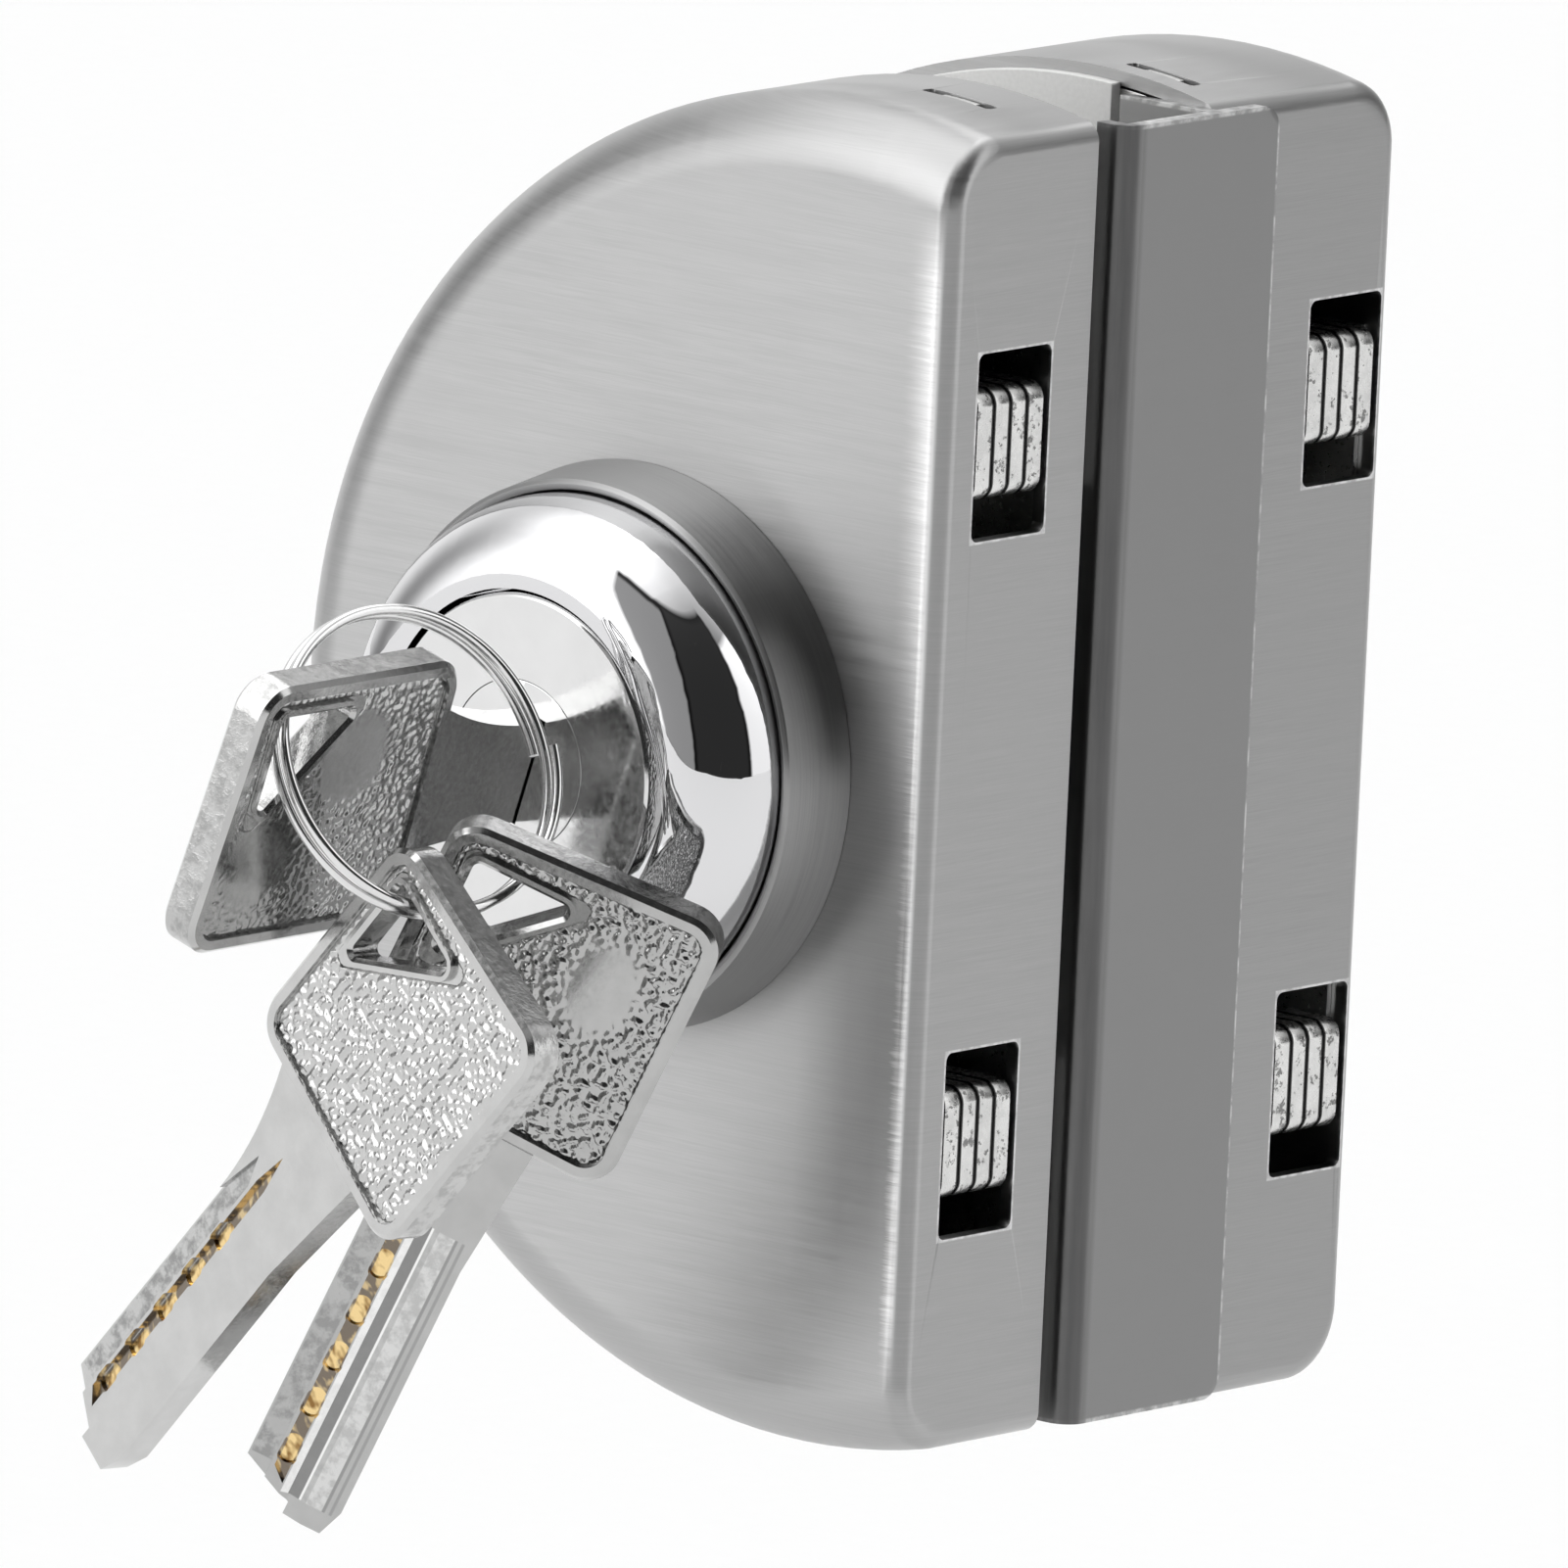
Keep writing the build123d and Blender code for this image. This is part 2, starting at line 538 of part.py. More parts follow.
def rose_ring():
    """The brushed ring on the front cover, with a bevel down to the dome."""
    y0 = FRONT_FACE
    bore = BODY_RADIUS + BODY_FIT
    seat = ROSE_TOP_RADIUS - ROSE_BEVEL_WIDTH
    profile = [(bore, y0), (ROSE_BASE_RADIUS, y0), (ROSE_TOP_RADIUS, y0 - ROSE_HEIGHT + ROSE_EDGE),
               (ROSE_TOP_RADIUS - ROSE_EDGE, y0 - ROSE_HEIGHT),
               (seat, y0 - ROSE_HEIGHT + ROSE_BEVEL_DEPTH), (seat, y0 - ROSE_FLOOR), (bore, y0 - ROSE_FLOOR)]
    return turned(profile, AXIS_X)


def chrome_dome():
    """The polished collar round the cylinder's head: it seats in the rose ring."""
    base = ROSE_TOP_RADIUS - ROSE_BEVEL_WIDTH - DOME_GAP
    y0, y_top = FRONT_FACE - ROSE_FLOOR, DOME_FACE
    y_shoulder = FRONT_FACE - ROSE_HEIGHT + ROSE_BEVEL_DEPTH - DOME_SHOULDER
    ledge = DOME_FACE + HEAD_THICKNESS
    bore = HEAD_RADIUS + HEAD_GAP
    small = BODY_RADIUS + BODY_FIT
    side_y = y_shoulder + (y_top - y_shoulder) * DOME_SIDE_SHARE
    top_radius = DOME_TOP_RADIUS + (base - DOME_TOP_RADIUS) * DOME_TOP_SHARE
    crown = Bezier((base, y_shoulder), (base, side_y), (top_radius, y_top), (DOME_TOP_RADIUS, y_top))
    walls = Polyline((DOME_TOP_RADIUS, y_top), (bore, y_top), (bore, ledge), (small, ledge), (small, y0),
                     (base, y0), (base, y_shoulder))
    return Pos(AXIS_X, 0, 0) * revolve(make_face([*crown.edges(), *walls.edges()]), Axis.Y)


def keyway(y0, y1):
    """The slot for the key's blade, leaning as the key does."""
    half_width, half_thickness = BLADE_WIDTH / 2 + KEYWAY_FIT, BLADE_THICKNESS / 2 + KEYWAY_FIT
    slot = block(-half_thickness, half_thickness, y0, y1, -half_width, half_width)
    return Pos(AXIS_X, 0, 0) * Rot(0, KEY_LEAN, 0) * slot


def pin_places():
    for n in range(PIN_COUNT):
        yield DOME_FACE + PIN_FIRST_Y + n * PIN_PITCH


def pin_rod(radius, y, r0, r1):
    """A rod square to the blade's cut side, over the key's track, r0 to r1 from the blade's middle plane."""
    rod_shape = Pos(-(r0 + r1) / 2, y, TRACK_OFFSET) * Rot(0, 90, 0) * Cylinder(radius, r1 - r0)
    return Pos(AXIS_X, 0, 0) * Rot(0, KEY_LEAN, 0) * rod_shape


def cylinder_parts():
    """Cylinder body, plug, and the pins that the key lifts to the line between them."""
    body_rear = DRIVE_FRONT_Y - BODY_END_GAP
    head = rod(HEAD_RADIUS, DOME_FACE, DOME_FACE + HEAD_THICKNESS, AXIS_X, 0)
    head = chamfer(head.faces().sort_by(Axis.Y)[0].edges(), HEAD_EDGE)
    shank = on_y(body_outline(BODY_RADIUS, BODY_FLAT), DOME_FACE + HEAD_THICKNESS, body_rear, AXIS_X, 0)
    body = head + shank
    bore = PLUG_RADIUS + PLUG_FIT
    body -= rod(bore, DOME_FACE, body_rear, AXIS_X, 0)
    plug = rod(PLUG_RADIUS, DOME_FACE, PLUG_REAR, AXIS_X, 0)
    plug += rod(PLUG_BOSS_RADIUS, PLUG_REAR, -PLATE_FACE - RUNNING_GAP / 2, AXIS_X, 0)
    plug -= keyway(DOME_FACE - CUT_OVERRUN, PLUG_REAR - PLUG_END_WALL)
    half = SPINDLE_SIDE / 2 + SPINDLE_FIT
    socket_end = -PLATE_FACE - RUNNING_GAP / 2
    plug -= block(AXIS_X - half, AXIS_X + half, socket_end - SPINDLE_SOCKET, socket_end + CUT_OVERRUN,
                  -half, half)
    key_pins, driver_pins = [], []
    blade_side = BLADE_THICKNESS / 2 + KEYWAY_FIT
    driver_end = BODY_FLAT
    plug_chord = math.sqrt(PLUG_RADIUS ** 2 - (TRACK_OFFSET + PIN_RADIUS) ** 2) - PLUG_FIT
    for y in pin_places():
        hole = pin_rod(PIN_RADIUS + PIN_FIT, y, 0, driver_end)
        plug -= hole
        body -= hole
        key_pins.append(pin_rod(PIN_RADIUS, y, blade_side, plug_chord))
        driver_pins.append(pin_rod(PIN_RADIUS, y, PLUG_RADIUS + 2 * PLUG_FIT, driver_end - PIN_FIT))
    return body, plug, key_pins, driver_pins


def ring_nut():
    y0 = FRONT_FACE + COVER_WALL
    nut = rod(RING_NUT_RADIUS, y0, y0 + RING_NUT_THICKNESS, AXIS_X, 0)
    nut -= on_y(body_outline(BODY_RADIUS + SCREW_CLEARANCE, BODY_RADIUS + SCREW_CLEARANCE), y0 - CUT_OVERRUN,
                y0 + RING_NUT_THICKNESS + CUT_OVERRUN, AXIS_X, 0)
    for turn in QUARTER_ANGLES:
        notch = block(RING_NUT_RADIUS - RING_NUT_SLOT / 2, RING_NUT_RADIUS + CUT_OVERRUN, y0 - CUT_OVERRUN,
                      y0 + RING_NUT_THICKNESS + CUT_OVERRUN, -RING_NUT_SLOT / 2, RING_NUT_SLOT / 2)
        nut -= Pos(AXIS_X, 0, 0) * Rot(0, turn, 0) * notch
    return nut


def spindle(y0, y1):
    half = SPINDLE_SIDE / 2
    return block(AXIS_X - half, AXIS_X + half, y0, y1, -half, half)


def thumbturn_parts():
    """Rose with its sleeve, the thumbturn, and the clip that keeps it in."""
    y0 = REAR_FACE
    bore = TURN_SHAFT_RADIUS + TURN_SHAFT_FIT
    rose = rod(REAR_ROSE_RADIUS, y0, y0 + REAR_ROSE_HEIGHT, AXIS_X, 0)
    rose = chamfer(rose.faces().sort_by(Axis.Y)[-1].edges(), REAR_ROSE_EDGE)
    rose += rod(SLEEVE_RADIUS, SLEEVE_END, y0, AXIS_X, 0)
    rose -= rod(bore, SLEEVE_END - CUT_OVERRUN, y0 + REAR_ROSE_HEIGHT + CUT_OVERRUN, AXIS_X, 0)

    disc_y = y0 + REAR_ROSE_HEIGHT + TURN_GAP
    disc_top = disc_y + TURN_DISC_THICKNESS
    disc = rod(TURN_DISC_RADIUS, disc_y, disc_top, AXIS_X, 0)
    disc = fillet(disc.faces().sort_by(Axis.Y)[-1].edges(), TURN_DISC_ROUND)
    paddle = block(-PADDLE_WIDTH / 2, PADDLE_WIDTH / 2, disc_top - TURN_DISC_ROUND, disc_top + PADDLE_HEIGHT,
                   -PADDLE_LENGTH / 2, PADDLE_LENGTH / 2)
    top_edges = paddle.faces().sort_by(Axis.Y)[-1].edges()
    paddle = fillet(paddle.edges().filter_by(Axis.Y) + top_edges, PADDLE_ROUND)
    turn = disc + Pos(AXIS_X, 0, 0) * paddle + rod(TURN_SHAFT_RADIUS, TURN_SHAFT_START, disc_y, AXIS_X, 0)
    groove_y = TURN_SHAFT_START + TURN_SHAFT_TAIL
    groove = rod(TURN_SHAFT_RADIUS + CUT_OVERRUN, groove_y, groove_y + CLIP_THICKNESS, AXIS_X, 0)
    turn -= groove - rod(CLIP_GROOVE_RADIUS, groove_y, groove_y + CLIP_THICKNESS, AXIS_X, 0)
    half = SPINDLE_SIDE / 2 + SPINDLE_FIT
    turn -= block(AXIS_X - half, AXIS_X + half, TURN_SHAFT_START - CUT_OVERRUN, disc_y + SPINDLE_FIT,
                  -half, half)

    clip = rod(CLIP_OUTER_RADIUS, groove_y, groove_y + CLIP_THICKNESS, AXIS_X, 0)
    clip -= rod(CLIP_GROOVE_RADIUS, groove_y - CUT_OVERRUN, groove_y + CUT_OVERRUN, AXIS_X, 0)
    clip -= block(AXIS_X - CLIP_OUTER_RADIUS - CUT_OVERRUN, AXIS_X, groove_y - CUT_OVERRUN,
                  groove_y + CUT_OVERRUN, -CLIP_GROOVE_RADIUS / 2, CLIP_GROOVE_RADIUS / 2)
    return rose, turn, clip


def blade_cuts(shoulder, grooved_land):
    """What is milled into the blade's upper face: an edge groove, the track, and the pin cuts along it."""
    half, face, end = BLADE_WIDTH / 2, BLADE_THICKNESS / 2, shoulder + BLADE_LENGTH
    ledge = EDGE_GROOVE_WIDTH - half
    outer = -half - CUT_OVERRUN
    edge = Polyline((shoulder - EDGE_GROOVE_RUN, ledge - EDGE_GROOVE_WIDTH / 2), (shoulder, -half),
                    (shoulder, outer), (end + CUT_OVERRUN, outer), (end + CUT_OVERRUN, ledge),
                    (shoulder - EDGE_GROOVE_RUN / 2, ledge), close=True)
    yield extrude(Plane.XY.offset(face - EDGE_GROOVE_DEPTH) * make_face(edge), CUT_OVERRUN)
    low, high, start = -TRACK_OFFSET - TRACK_WIDTH / 2, TRACK_WIDTH / 2 - TRACK_OFFSET, shoulder - TRACK_RUN
    stop = end - TRACK_END_GAP
    track = Polyline((start, -TRACK_OFFSET), (start + TRACK_POINT, low), (stop - TRACK_WIDTH, low),
                     (stop, high), (start + TRACK_POINT, high), close=True)
    yield extrude(Plane.XY.offset(face - TRACK_DEPTH) * make_face(track), CUT_OVERRUN)
    for n in range(PIN_COUNT):
        place = Pos(shoulder + PIN_FIRST_Y + n * PIN_PITCH, -TRACK_OFFSET, face - CUT_DEPTH)
        yield place * extrude(SlotCenterToCenter(CUT_LENGTH, CUT_WIDTH), CUT_OVERRUN)
    if grooved_land:
        section = Polyline((LAND_GROOVE_LOW, face), (LAND_GROOVE_FLOOR, face - LAND_GROOVE_DEPTH),
                           (LAND_GROOVE_HIGH, face), close=True)
        plane = Plane(origin=(shoulder - EDGE_GROOVE_RUN, 0, 0), x_dir=(0, 1, 0), z_dir=(1, 0, 0))
        yield extrude(plane * make_face(section), BLADE_LENGTH + EDGE_GROOVE_RUN + CUT_OVERRUN)


def key(grooved_land):
    """A key lying in its own plane: along X from the bow's centre to the tip, its hole at -X and -Y."""
    half_l, half_w = BOW_LENGTH / 2, BOW_WIDTH / 2
    corners = [(-half_l, -half_w), (half_l, -half_w),
               (half_l + BOW_LEAN / 2, half_w), (-half_l - BOW_LEAN, half_w)]
    bow = fillet(make_face(Polyline(*corners, close=True)).vertices(), BOW_CORNER)
    inner = offset(bow, -BOW_RIM)
    hx, hy = -half_l + KEY_HOLE_INSET, -half_w + KEY_HOLE_INSET
    hole = make_face(Polyline((hx, hy), (hx + KEY_HOLE_LEG, hy), (hx, hy + KEY_HOLE_LEG), close=True))
    hole = fillet(hole.vertices(), KEY_HOLE_CORNER)
    field = inner - offset(hole, HOLE_RIM)

    shoulder = half_l + NECK_LENGTH
    blade_half = BLADE_WIDTH / 2
    start = half_l - BOW_RIM / 2
    waist = ThreePointArc((start, -NECK_LOW), (shoulder - NECK_LENGTH / 2, -blade_half - NECK_WAIST / 4),
                          (shoulder, -blade_half))
    end = shoulder + BLADE_LENGTH
    rest = Polyline((shoulder, -blade_half), (end - TIP_BEVEL, -blade_half), (end - TIP_STEP, TIP_LOW),
                    (end, TIP_LOW), (end, TIP_HIGH), (end - TIP_SIDE, blade_half), (shoulder, blade_half),
                    (start, NECK_HIGH), (start, -NECK_LOW))
    shank = make_face([*waist.edges(), *rest.edges()])

    solid = extrude(bow, BOW_THICKNESS / 2, both=True)
    faces = solid.faces().sort_by(Axis.Z)
    solid = chamfer(faces[-1].edges() + faces[0].edges(), BOW_EDGE)
    solid += extrude(shank, BLADE_THICKNESS / 2, both=True)
    top = BOW_THICKNESS / 2
    for side in (-1, 1):
        solid -= extrude(Plane.XY.offset(side * (top - BOW_FIELD_DEPTH)) * field, side * CUT_OVERRUN)
    for cut in blade_cuts(shoulder, grooved_land):
        solid -= cut
    solid -= extrude(hole, BOW_THICKNESS, both=True)
    for side in (-1, 1):
        mouth = Plane.XY.offset(side * (top - KEY_HOLE_EDGE)) * offset(hole, KEY_HOLE_EDGE)
        flare = extrude(mouth, side * CUT_OVERRUN)
        floor = flare.faces().sort_by(Axis.Z)[0 if side > 0 else -1]
        solid -= chamfer(floor.edges(), KEY_HOLE_EDGE * FLARE_SHARE)
    return solid


def placed(shape, centre, along, face):
    """Moves a flat key so that its length runs along one direction and its face looks another way."""
    return Plane(origin=centre, x_dir=along, z_dir=face) * shape


def helix_point(centre, axes, angle):
    first, second, up = axes
    rise = RING_PITCH * (angle / (2 * math.pi) - RING_TURNS / 2)
    run, lift = RING_RADIUS * math.cos(angle), RING_RADIUS * math.sin(angle)
    point = centre + first * run + second * lift + up * rise
    slope = RING_PITCH / (2 * math.pi)
    tangent = second * run - first * lift + up * slope
    return point, tangent.normalized()


def biarc(p0, t0, p1, t1):
    """Two arcs that join p0 to p1 and leave and arrive along the given directions."""
    across, both = p1 - p0, t0 + t1
    a = 2 * (1 - t0.dot(t1))
    b = across.dot(both)
    reach = (-b + math.sqrt(b * b + a * across.dot(across))) / a
    q0, q1 = p0 + t0 * reach, p1 - t1 * reach
    middle = (q0 + q1) * 0.5
    return [Edge.make_tangent_arc(p0, t0, middle), Edge.make_tangent_arc(middle, q1 - q0, p1)]


def split_ring():
    """One unbroken wire of two turns, side by side."""
    centre = Vector(*RING_CENTRE)
    up = Vector(*RING_AXIS_SHARES).normalized()
    first = Vector(0, 0, 1).cross(up).normalized()
    second = up.cross(first)
    axes = (first, second, up)
    steps = 2 * RING_TURNS
    edges = []
    for n in range(steps):
        p0, t0 = helix_point(centre, axes, n * math.pi)
        p1, t1 = helix_point(centre, axes, (n + 1) * math.pi)
        edges += biarc(p0, t0, p1, t1)
    path = Wire(edges)
    start, tangent = helix_point(centre, axes, 0)
    section = Plane(origin=start, z_dir=tangent) * Circle(RING_WIRE / 2)
    ring = sweep(section, path=path)
    centre_line = [edge @ share for edge in edges for share in PATH_SHARES]
    turn = len(centre_line) // RING_TURNS
    gaps = [(p - q).length for n, p in enumerate(centre_line) for q in centre_line[n + turn // 2:]]
    print("ring wire's least gap to itself", round(min(gaps) - RING_WIRE, 3))
    length = sum(edge.length for edge in edges)
    tube = length * math.pi * RING_WIRE ** 2 / 4
    print("ring volume over section times length", round(ring.volume / tube, 4))
    return ring


def main():
    body_hole = on_y(body_outline(BODY_RADIUS + BODY_FIT, BODY_FLAT + BODY_FIT), FRONT_FACE - CUT_OVERRUN,
                     FRONT_FACE + CUT_OVERRUN, AXIS_X, 0)
    sleeve_hole = rod(SLEEVE_RADIUS, REAR_FACE - CUT_OVERRUN, REAR_FACE + CUT_OVERRUN, AXIS_X, 0)
    save("front_cover", cover(-1, FRONT_FACE, FRONT_BOLT_Y, FRONT_CATCH_X, FRONT_CATCH_Y, body_hole))
    save("rear_cover", cover(1, REAR_FACE, REAR_BOLT_Y, REAR_CATCH_X, REAR_CATCH_Y, sleeve_hole))
    save("front_base_plate", base_plate(-1, FRONT_CATCH_X, FRONT_CATCH_Y))
    save("rear_base_plate", base_plate(1, REAR_CATCH_X, REAR_CATCH_Y))
    save("front_gasket", gasket(-1, FLAT_X - STRIP_FRONT_LEG - COVER_CLEARANCE))
    save("rear_gasket", gasket(1, FLAT_X - STRIP_REAR_LEG - GASKET_INSET))
    cover_screws = [countersunk(COVER_BOSS_X, sign * COVER_BOSS_Z, away * RIM_Y, away, M3_GRIP)
                    for away in (-1, 1) for sign in (-1, 1)]
    save("cover_screws", *cover_screws)

    front_pack = FRONT_BOLT_Y - PACK_THICKNESS / 2
    save("front_bolt_plates", *laminations(front_pack))
    save("front_drive_plate", drive_plate(DRIVE_FRONT_Y))
    save("front_bolt_rivets", *rivets(-1, front_pack, DRIVE_FRONT_Y + DRIVE_PLATE_THICKNESS))
    save("front_drive_spacers", *spacers(FRONT_PACK_INNER, DRIVE_FRONT_Y))
    save("rear_bolt_plates", *laminations(REAR_PACK_INNER))
    rear_drive_y = REAR_PACK_INNER - DRIVE_PLATE_THICKNESS
    save("rear_drive_plate", drive_plate(rear_drive_y))
    save("rear_bolt_rivets", *rivets(1, REAR_PACK_INNER + PACK_THICKNESS, rear_drive_y))

    front_guide = front_pack - BOLT_SIDE_GAP
    save("front_guide_pads", *guide_pads(front_guide - FRONT_GUIDE_THICKNESS, front_guide))
    front_post_end = front_guide - FRONT_GUIDE_THICKNESS
    save("front_guide_posts", *guide_posts(-1, FRONT_PACK_INNER + BOLT_SIDE_GAP, front_post_end))
    rear_inner_face = REAR_FACE - COVER_WALL
    save("rear_guide_pads", *guide_pads(rear_inner_face - REAR_GUIDE_THICKNESS, rear_inner_face))
    save("rear_guide_posts", *guide_posts(1, REAR_PACK_INNER - BOLT_SIDE_GAP, rear_inner_face))

    front_cam_y = -PLATE_FACE + (PLATE_THICKNESS - CAM_THICKNESS) / 2
    save("front_cam", cam(front_cam_y, DRIVE_FRONT_Y + BOLT_SIDE_GAP))
    rear_cam_y = rear_drive_y - RUNNING_GAP - CAM_THICKNESS
    save("rear_cam", cam(rear_cam_y, REAR_PACK_INNER - BOLT_SIDE_GAP))
    rose, turn, clip = thumbturn_parts()
    save("spindle", spindle(-PLATE_FACE - RUNNING_GAP / 2 - SPINDLE_SOCKET + SPINDLE_FIT,
                            REAR_FACE + REAR_ROSE_HEIGHT))
    save("thumbturn_rose", rose)
    save("thumbturn", turn)
    save("thumbturn_clip", clip)

    posts, screws = clamp_parts()
    save("clamp_posts", *posts)
    save("clamp_screws", *screws)
    save("edge_strip", edge_strip())
    strip_screws = [countersunk(STRIP_SCREW_X, sign * STRIP_SCREW_Z, HALF_GLASS, 1, PLATE_FACE - HALF_GLASS)
                    for sign in (-1, 1)]
    save("edge_strip_screws", *strip_screws)

    body, plug, key_pins, driver_pins = cylinder_parts()
    save("rose_ring", rose_ring())
    save("chrome_dome", chrome_dome())
    save("cylinder_body", body)
    save("cylinder_plug", plug)
    save("key_pins", *key_pins)
    save("driver_pins", *driver_pins)
    save("cylinder_nut", ring_nut())

    lean = math.radians(KEY_LEAN)
    plain_key, grooved_key = key(False), key(True)
    bow_y = DOME_FACE - NECK_LENGTH - BOW_LENGTH / 2
    face = (-math.cos(lean), 0, math.sin(lean))
    front_pose = (FRONT_KEY_CENTRE, FRONT_KEY_ALONG_SHARES, FRONT_KEY_FACE_SHARES)
    rear_pose = (REAR_KEY_CENTRE, REAR_KEY_ALONG_SHARES, REAR_KEY_FACE_SHARES)
    save("key_inserted", placed(plain_key, (AXIS_X, bow_y, 0), (0, 1, 0), face))
    save("hanging_key_front", placed(plain_key, *front_pose))
    save("hanging_key_rear", placed(grooved_key, *rear_pose))
    save("split_ring", split_ring())


main()
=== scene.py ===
import bpy
import bmesh
import math
import numpy as np
from mathutils import Matrix, Vector, noise


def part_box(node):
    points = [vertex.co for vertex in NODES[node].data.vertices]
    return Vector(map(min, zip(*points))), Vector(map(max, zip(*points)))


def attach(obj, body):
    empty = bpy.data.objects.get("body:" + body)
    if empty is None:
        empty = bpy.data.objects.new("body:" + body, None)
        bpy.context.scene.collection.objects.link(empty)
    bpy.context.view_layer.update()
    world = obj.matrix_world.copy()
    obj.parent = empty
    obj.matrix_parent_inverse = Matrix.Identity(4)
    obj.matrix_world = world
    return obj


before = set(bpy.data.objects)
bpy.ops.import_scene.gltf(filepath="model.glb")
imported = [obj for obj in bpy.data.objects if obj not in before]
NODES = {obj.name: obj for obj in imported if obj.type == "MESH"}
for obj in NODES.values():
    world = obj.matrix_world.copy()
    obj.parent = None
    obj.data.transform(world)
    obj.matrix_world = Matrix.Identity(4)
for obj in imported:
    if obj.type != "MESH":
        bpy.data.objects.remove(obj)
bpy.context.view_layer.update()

# Places on the lock, in millimetres: x to its flat side, y to its back, z up.
MM = 0.001
CYLINDER_X = -17.0
FLAT_SIDE_X = 13.4
FRONT_FACE_Y = -24.55
WINDOW_Z = (20.4, 35.4)
FRONT_WINDOW_Y = (-20.53, -11.73)
REAR_WINDOW_Y = (20.0, 28.8)
STRIP_REAR_Y = 13.47
STRIP_END_Z = 52.1
PLATES_IN_A_BOLT = 4
PLATE_GAP = 0.12
# The greater part of a noise texture's values lies between these.
NOISE_RANGE = (0.3, 0.7)
NOISE_MIDDLE = (0.35, 0.65)


# Shader helpers
class Nodes:
    """Short calls that add shader nodes to a node tree."""

    def __init__(self, tree):
        self.tree = tree

    def node(self, kind, **values):
        n = self.tree.nodes.new(kind)
        for key, value in values.items():
            setattr(n, key, value)
        return n

    def link(self, a, b):
        self.tree.links.new(a, b)

    def put(self, socket, value):
        if hasattr(value, "is_output"):
            self.link(value, socket)
        else:
            socket.default_value = value

    def math(self, op, a, b=0.0):
        n = self.node("ShaderNodeMath", operation=op)
        for socket, value in zip(n.inputs, (a, b)):
            self.put(socket, value)
        return n.outputs[0]

    def total(self, values):
        out = values[0]
        for value in values[1:]:
            out = self.math("ADD", out, value)
        return out

    def product(self, *values):
        out = values[0]
        for value in values[1:]:
            out = self.math("MULTIPLY", out, value)
        return out

    def span(self, value, lo, hi, out_lo=0.0, out_hi=1.0):
        n = self.node("ShaderNodeMapRange")
        n.inputs["From Min"].default_value = lo
        n.inputs["From Max"].default_value = hi
        n.inputs["To Min"].default_value = out_lo
        n.inputs["To Max"].default_value = out_hi
        self.link(value, n.inputs["Value"])
        return n.outputs["Result"]

    def along(self, vector, axis, origin=(0, 0, 0)):
        """How far a point lies from origin along a direction."""
        shift = self.node("ShaderNodeVectorMath", operation="SUBTRACT")
        self.link(vector, shift.inputs[0])
        shift.inputs[1].default_value = origin
        dot = self.node("ShaderNodeVectorMath", operation="DOT_PRODUCT")
        self.link(shift.outputs[0], dot.inputs[0])
        dot.inputs[1].default_value = axis
        return dot.outputs["Value"]

    def axes(self, vector, directions=((1, 0, 0), (0, 1, 0), (0, 0, 1)), origin=(0, 0, 0)):
        return [self.along(vector, tuple(direction), tuple(origin)) for direction in directions]

    def within(self, value, lo, hi, edge):
        """One between lo and hi, falling to zero over edge on both sides."""
        rise = self.span(value, lo - edge, lo + edge)
        return self.product(rise, self.span(value, hi - edge, hi + edge, 1.0, 0.0))

    def rise(self, place, limits, out_lo=0.0, out_hi=1.0):
        """A span whose limits are in millimetres."""
        return self.span(place, limits[0] * MM, limits[1] * MM, out_lo, out_hi)

    def zone(self, place, limits, edge):
        """One between limits in millimetres, with an edge that fades."""
        return self.within(place, limits[0] * MM, limits[1] * MM, edge * MM)


QUARTER_TURN = 0.25


class Shader(Nodes):
    """A principled material with a few helpers to build its texture nodes."""

    def __init__(self, name, color, metallic, rough):
        self.mat = bpy.data.materials.new(name)
        self.mat.use_nodes = True
        super().__init__(self.mat.node_tree)
        self.bsdf = next(n for n in self.tree.nodes if n.type == "BSDF_PRINCIPLED")
        self.bsdf.inputs["Base Color"].default_value = (*color, 1)
        self.bsdf.inputs["Metallic"].default_value = metallic
        self.bsdf.inputs["Roughness"].default_value = rough

    def position(self, scale=(1, 1, 1), turn=(0, 0, 0), move=(0, 0, 0)):
        co = self.node("ShaderNodeTexCoord")
        mp = self.node("ShaderNodeMapping")
        mp.inputs["Scale"].default_value = scale
        mp.inputs["Rotation"].default_value = turn
        mp.inputs["Location"].default_value = move
        self.link(co.outputs["Object"], mp.inputs["Vector"])
        return mp.outputs["Vector"]

    def noise(self, vector, scale=1.0, detail=3.0, rough=0.6):
        n = self.node("ShaderNodeTexNoise")
        n.inputs["Scale"].default_value = scale
        n.inputs["Detail"].default_value = detail
        n.inputs["Roughness"].default_value = rough
        self.link(vector, n.inputs["Vector"])
        return n.outputs["Fac"]

    def blend(self, fac, a, b):
        n = self.node("ShaderNodeMix", data_type="RGBA")
        sockets = {s.identifier: s for s in n.inputs}
        self.put(sockets["Factor_Float"], fac)
        for key, value in (("A_Color", a), ("B_Color", b)):
            self.put(sockets[key], value if hasattr(value, "is_output") else (*value, 1))
        return next(s for s in n.outputs if s.identifier == "Result_Color")

    def bump(self, height, distance):
        n = self.node("ShaderNodeBump")
        n.inputs["Distance"].default_value = distance
        self.link(height, n.inputs["Height"])
        return n.outputs["Normal"]

    def grain_round(self, axis, amount):
        """Spreads reflections across a grain that runs round an axis."""
        tangent = self.node("ShaderNodeTangent", direction_type="RADIAL", axis=axis)
        self.link(tangent.outputs[0], self.bsdf.inputs["Tangent"])
        self.bsdf.inputs["Anisotropic"].default_value = amount
        self.bsdf.inputs["Anisotropic Rotation"].default_value = QUARTER_TURN

    def wire(self, **sockets):
        for key, value in sockets.items():
            self.link(value, self.bsdf.inputs[key.replace("_", " ")])


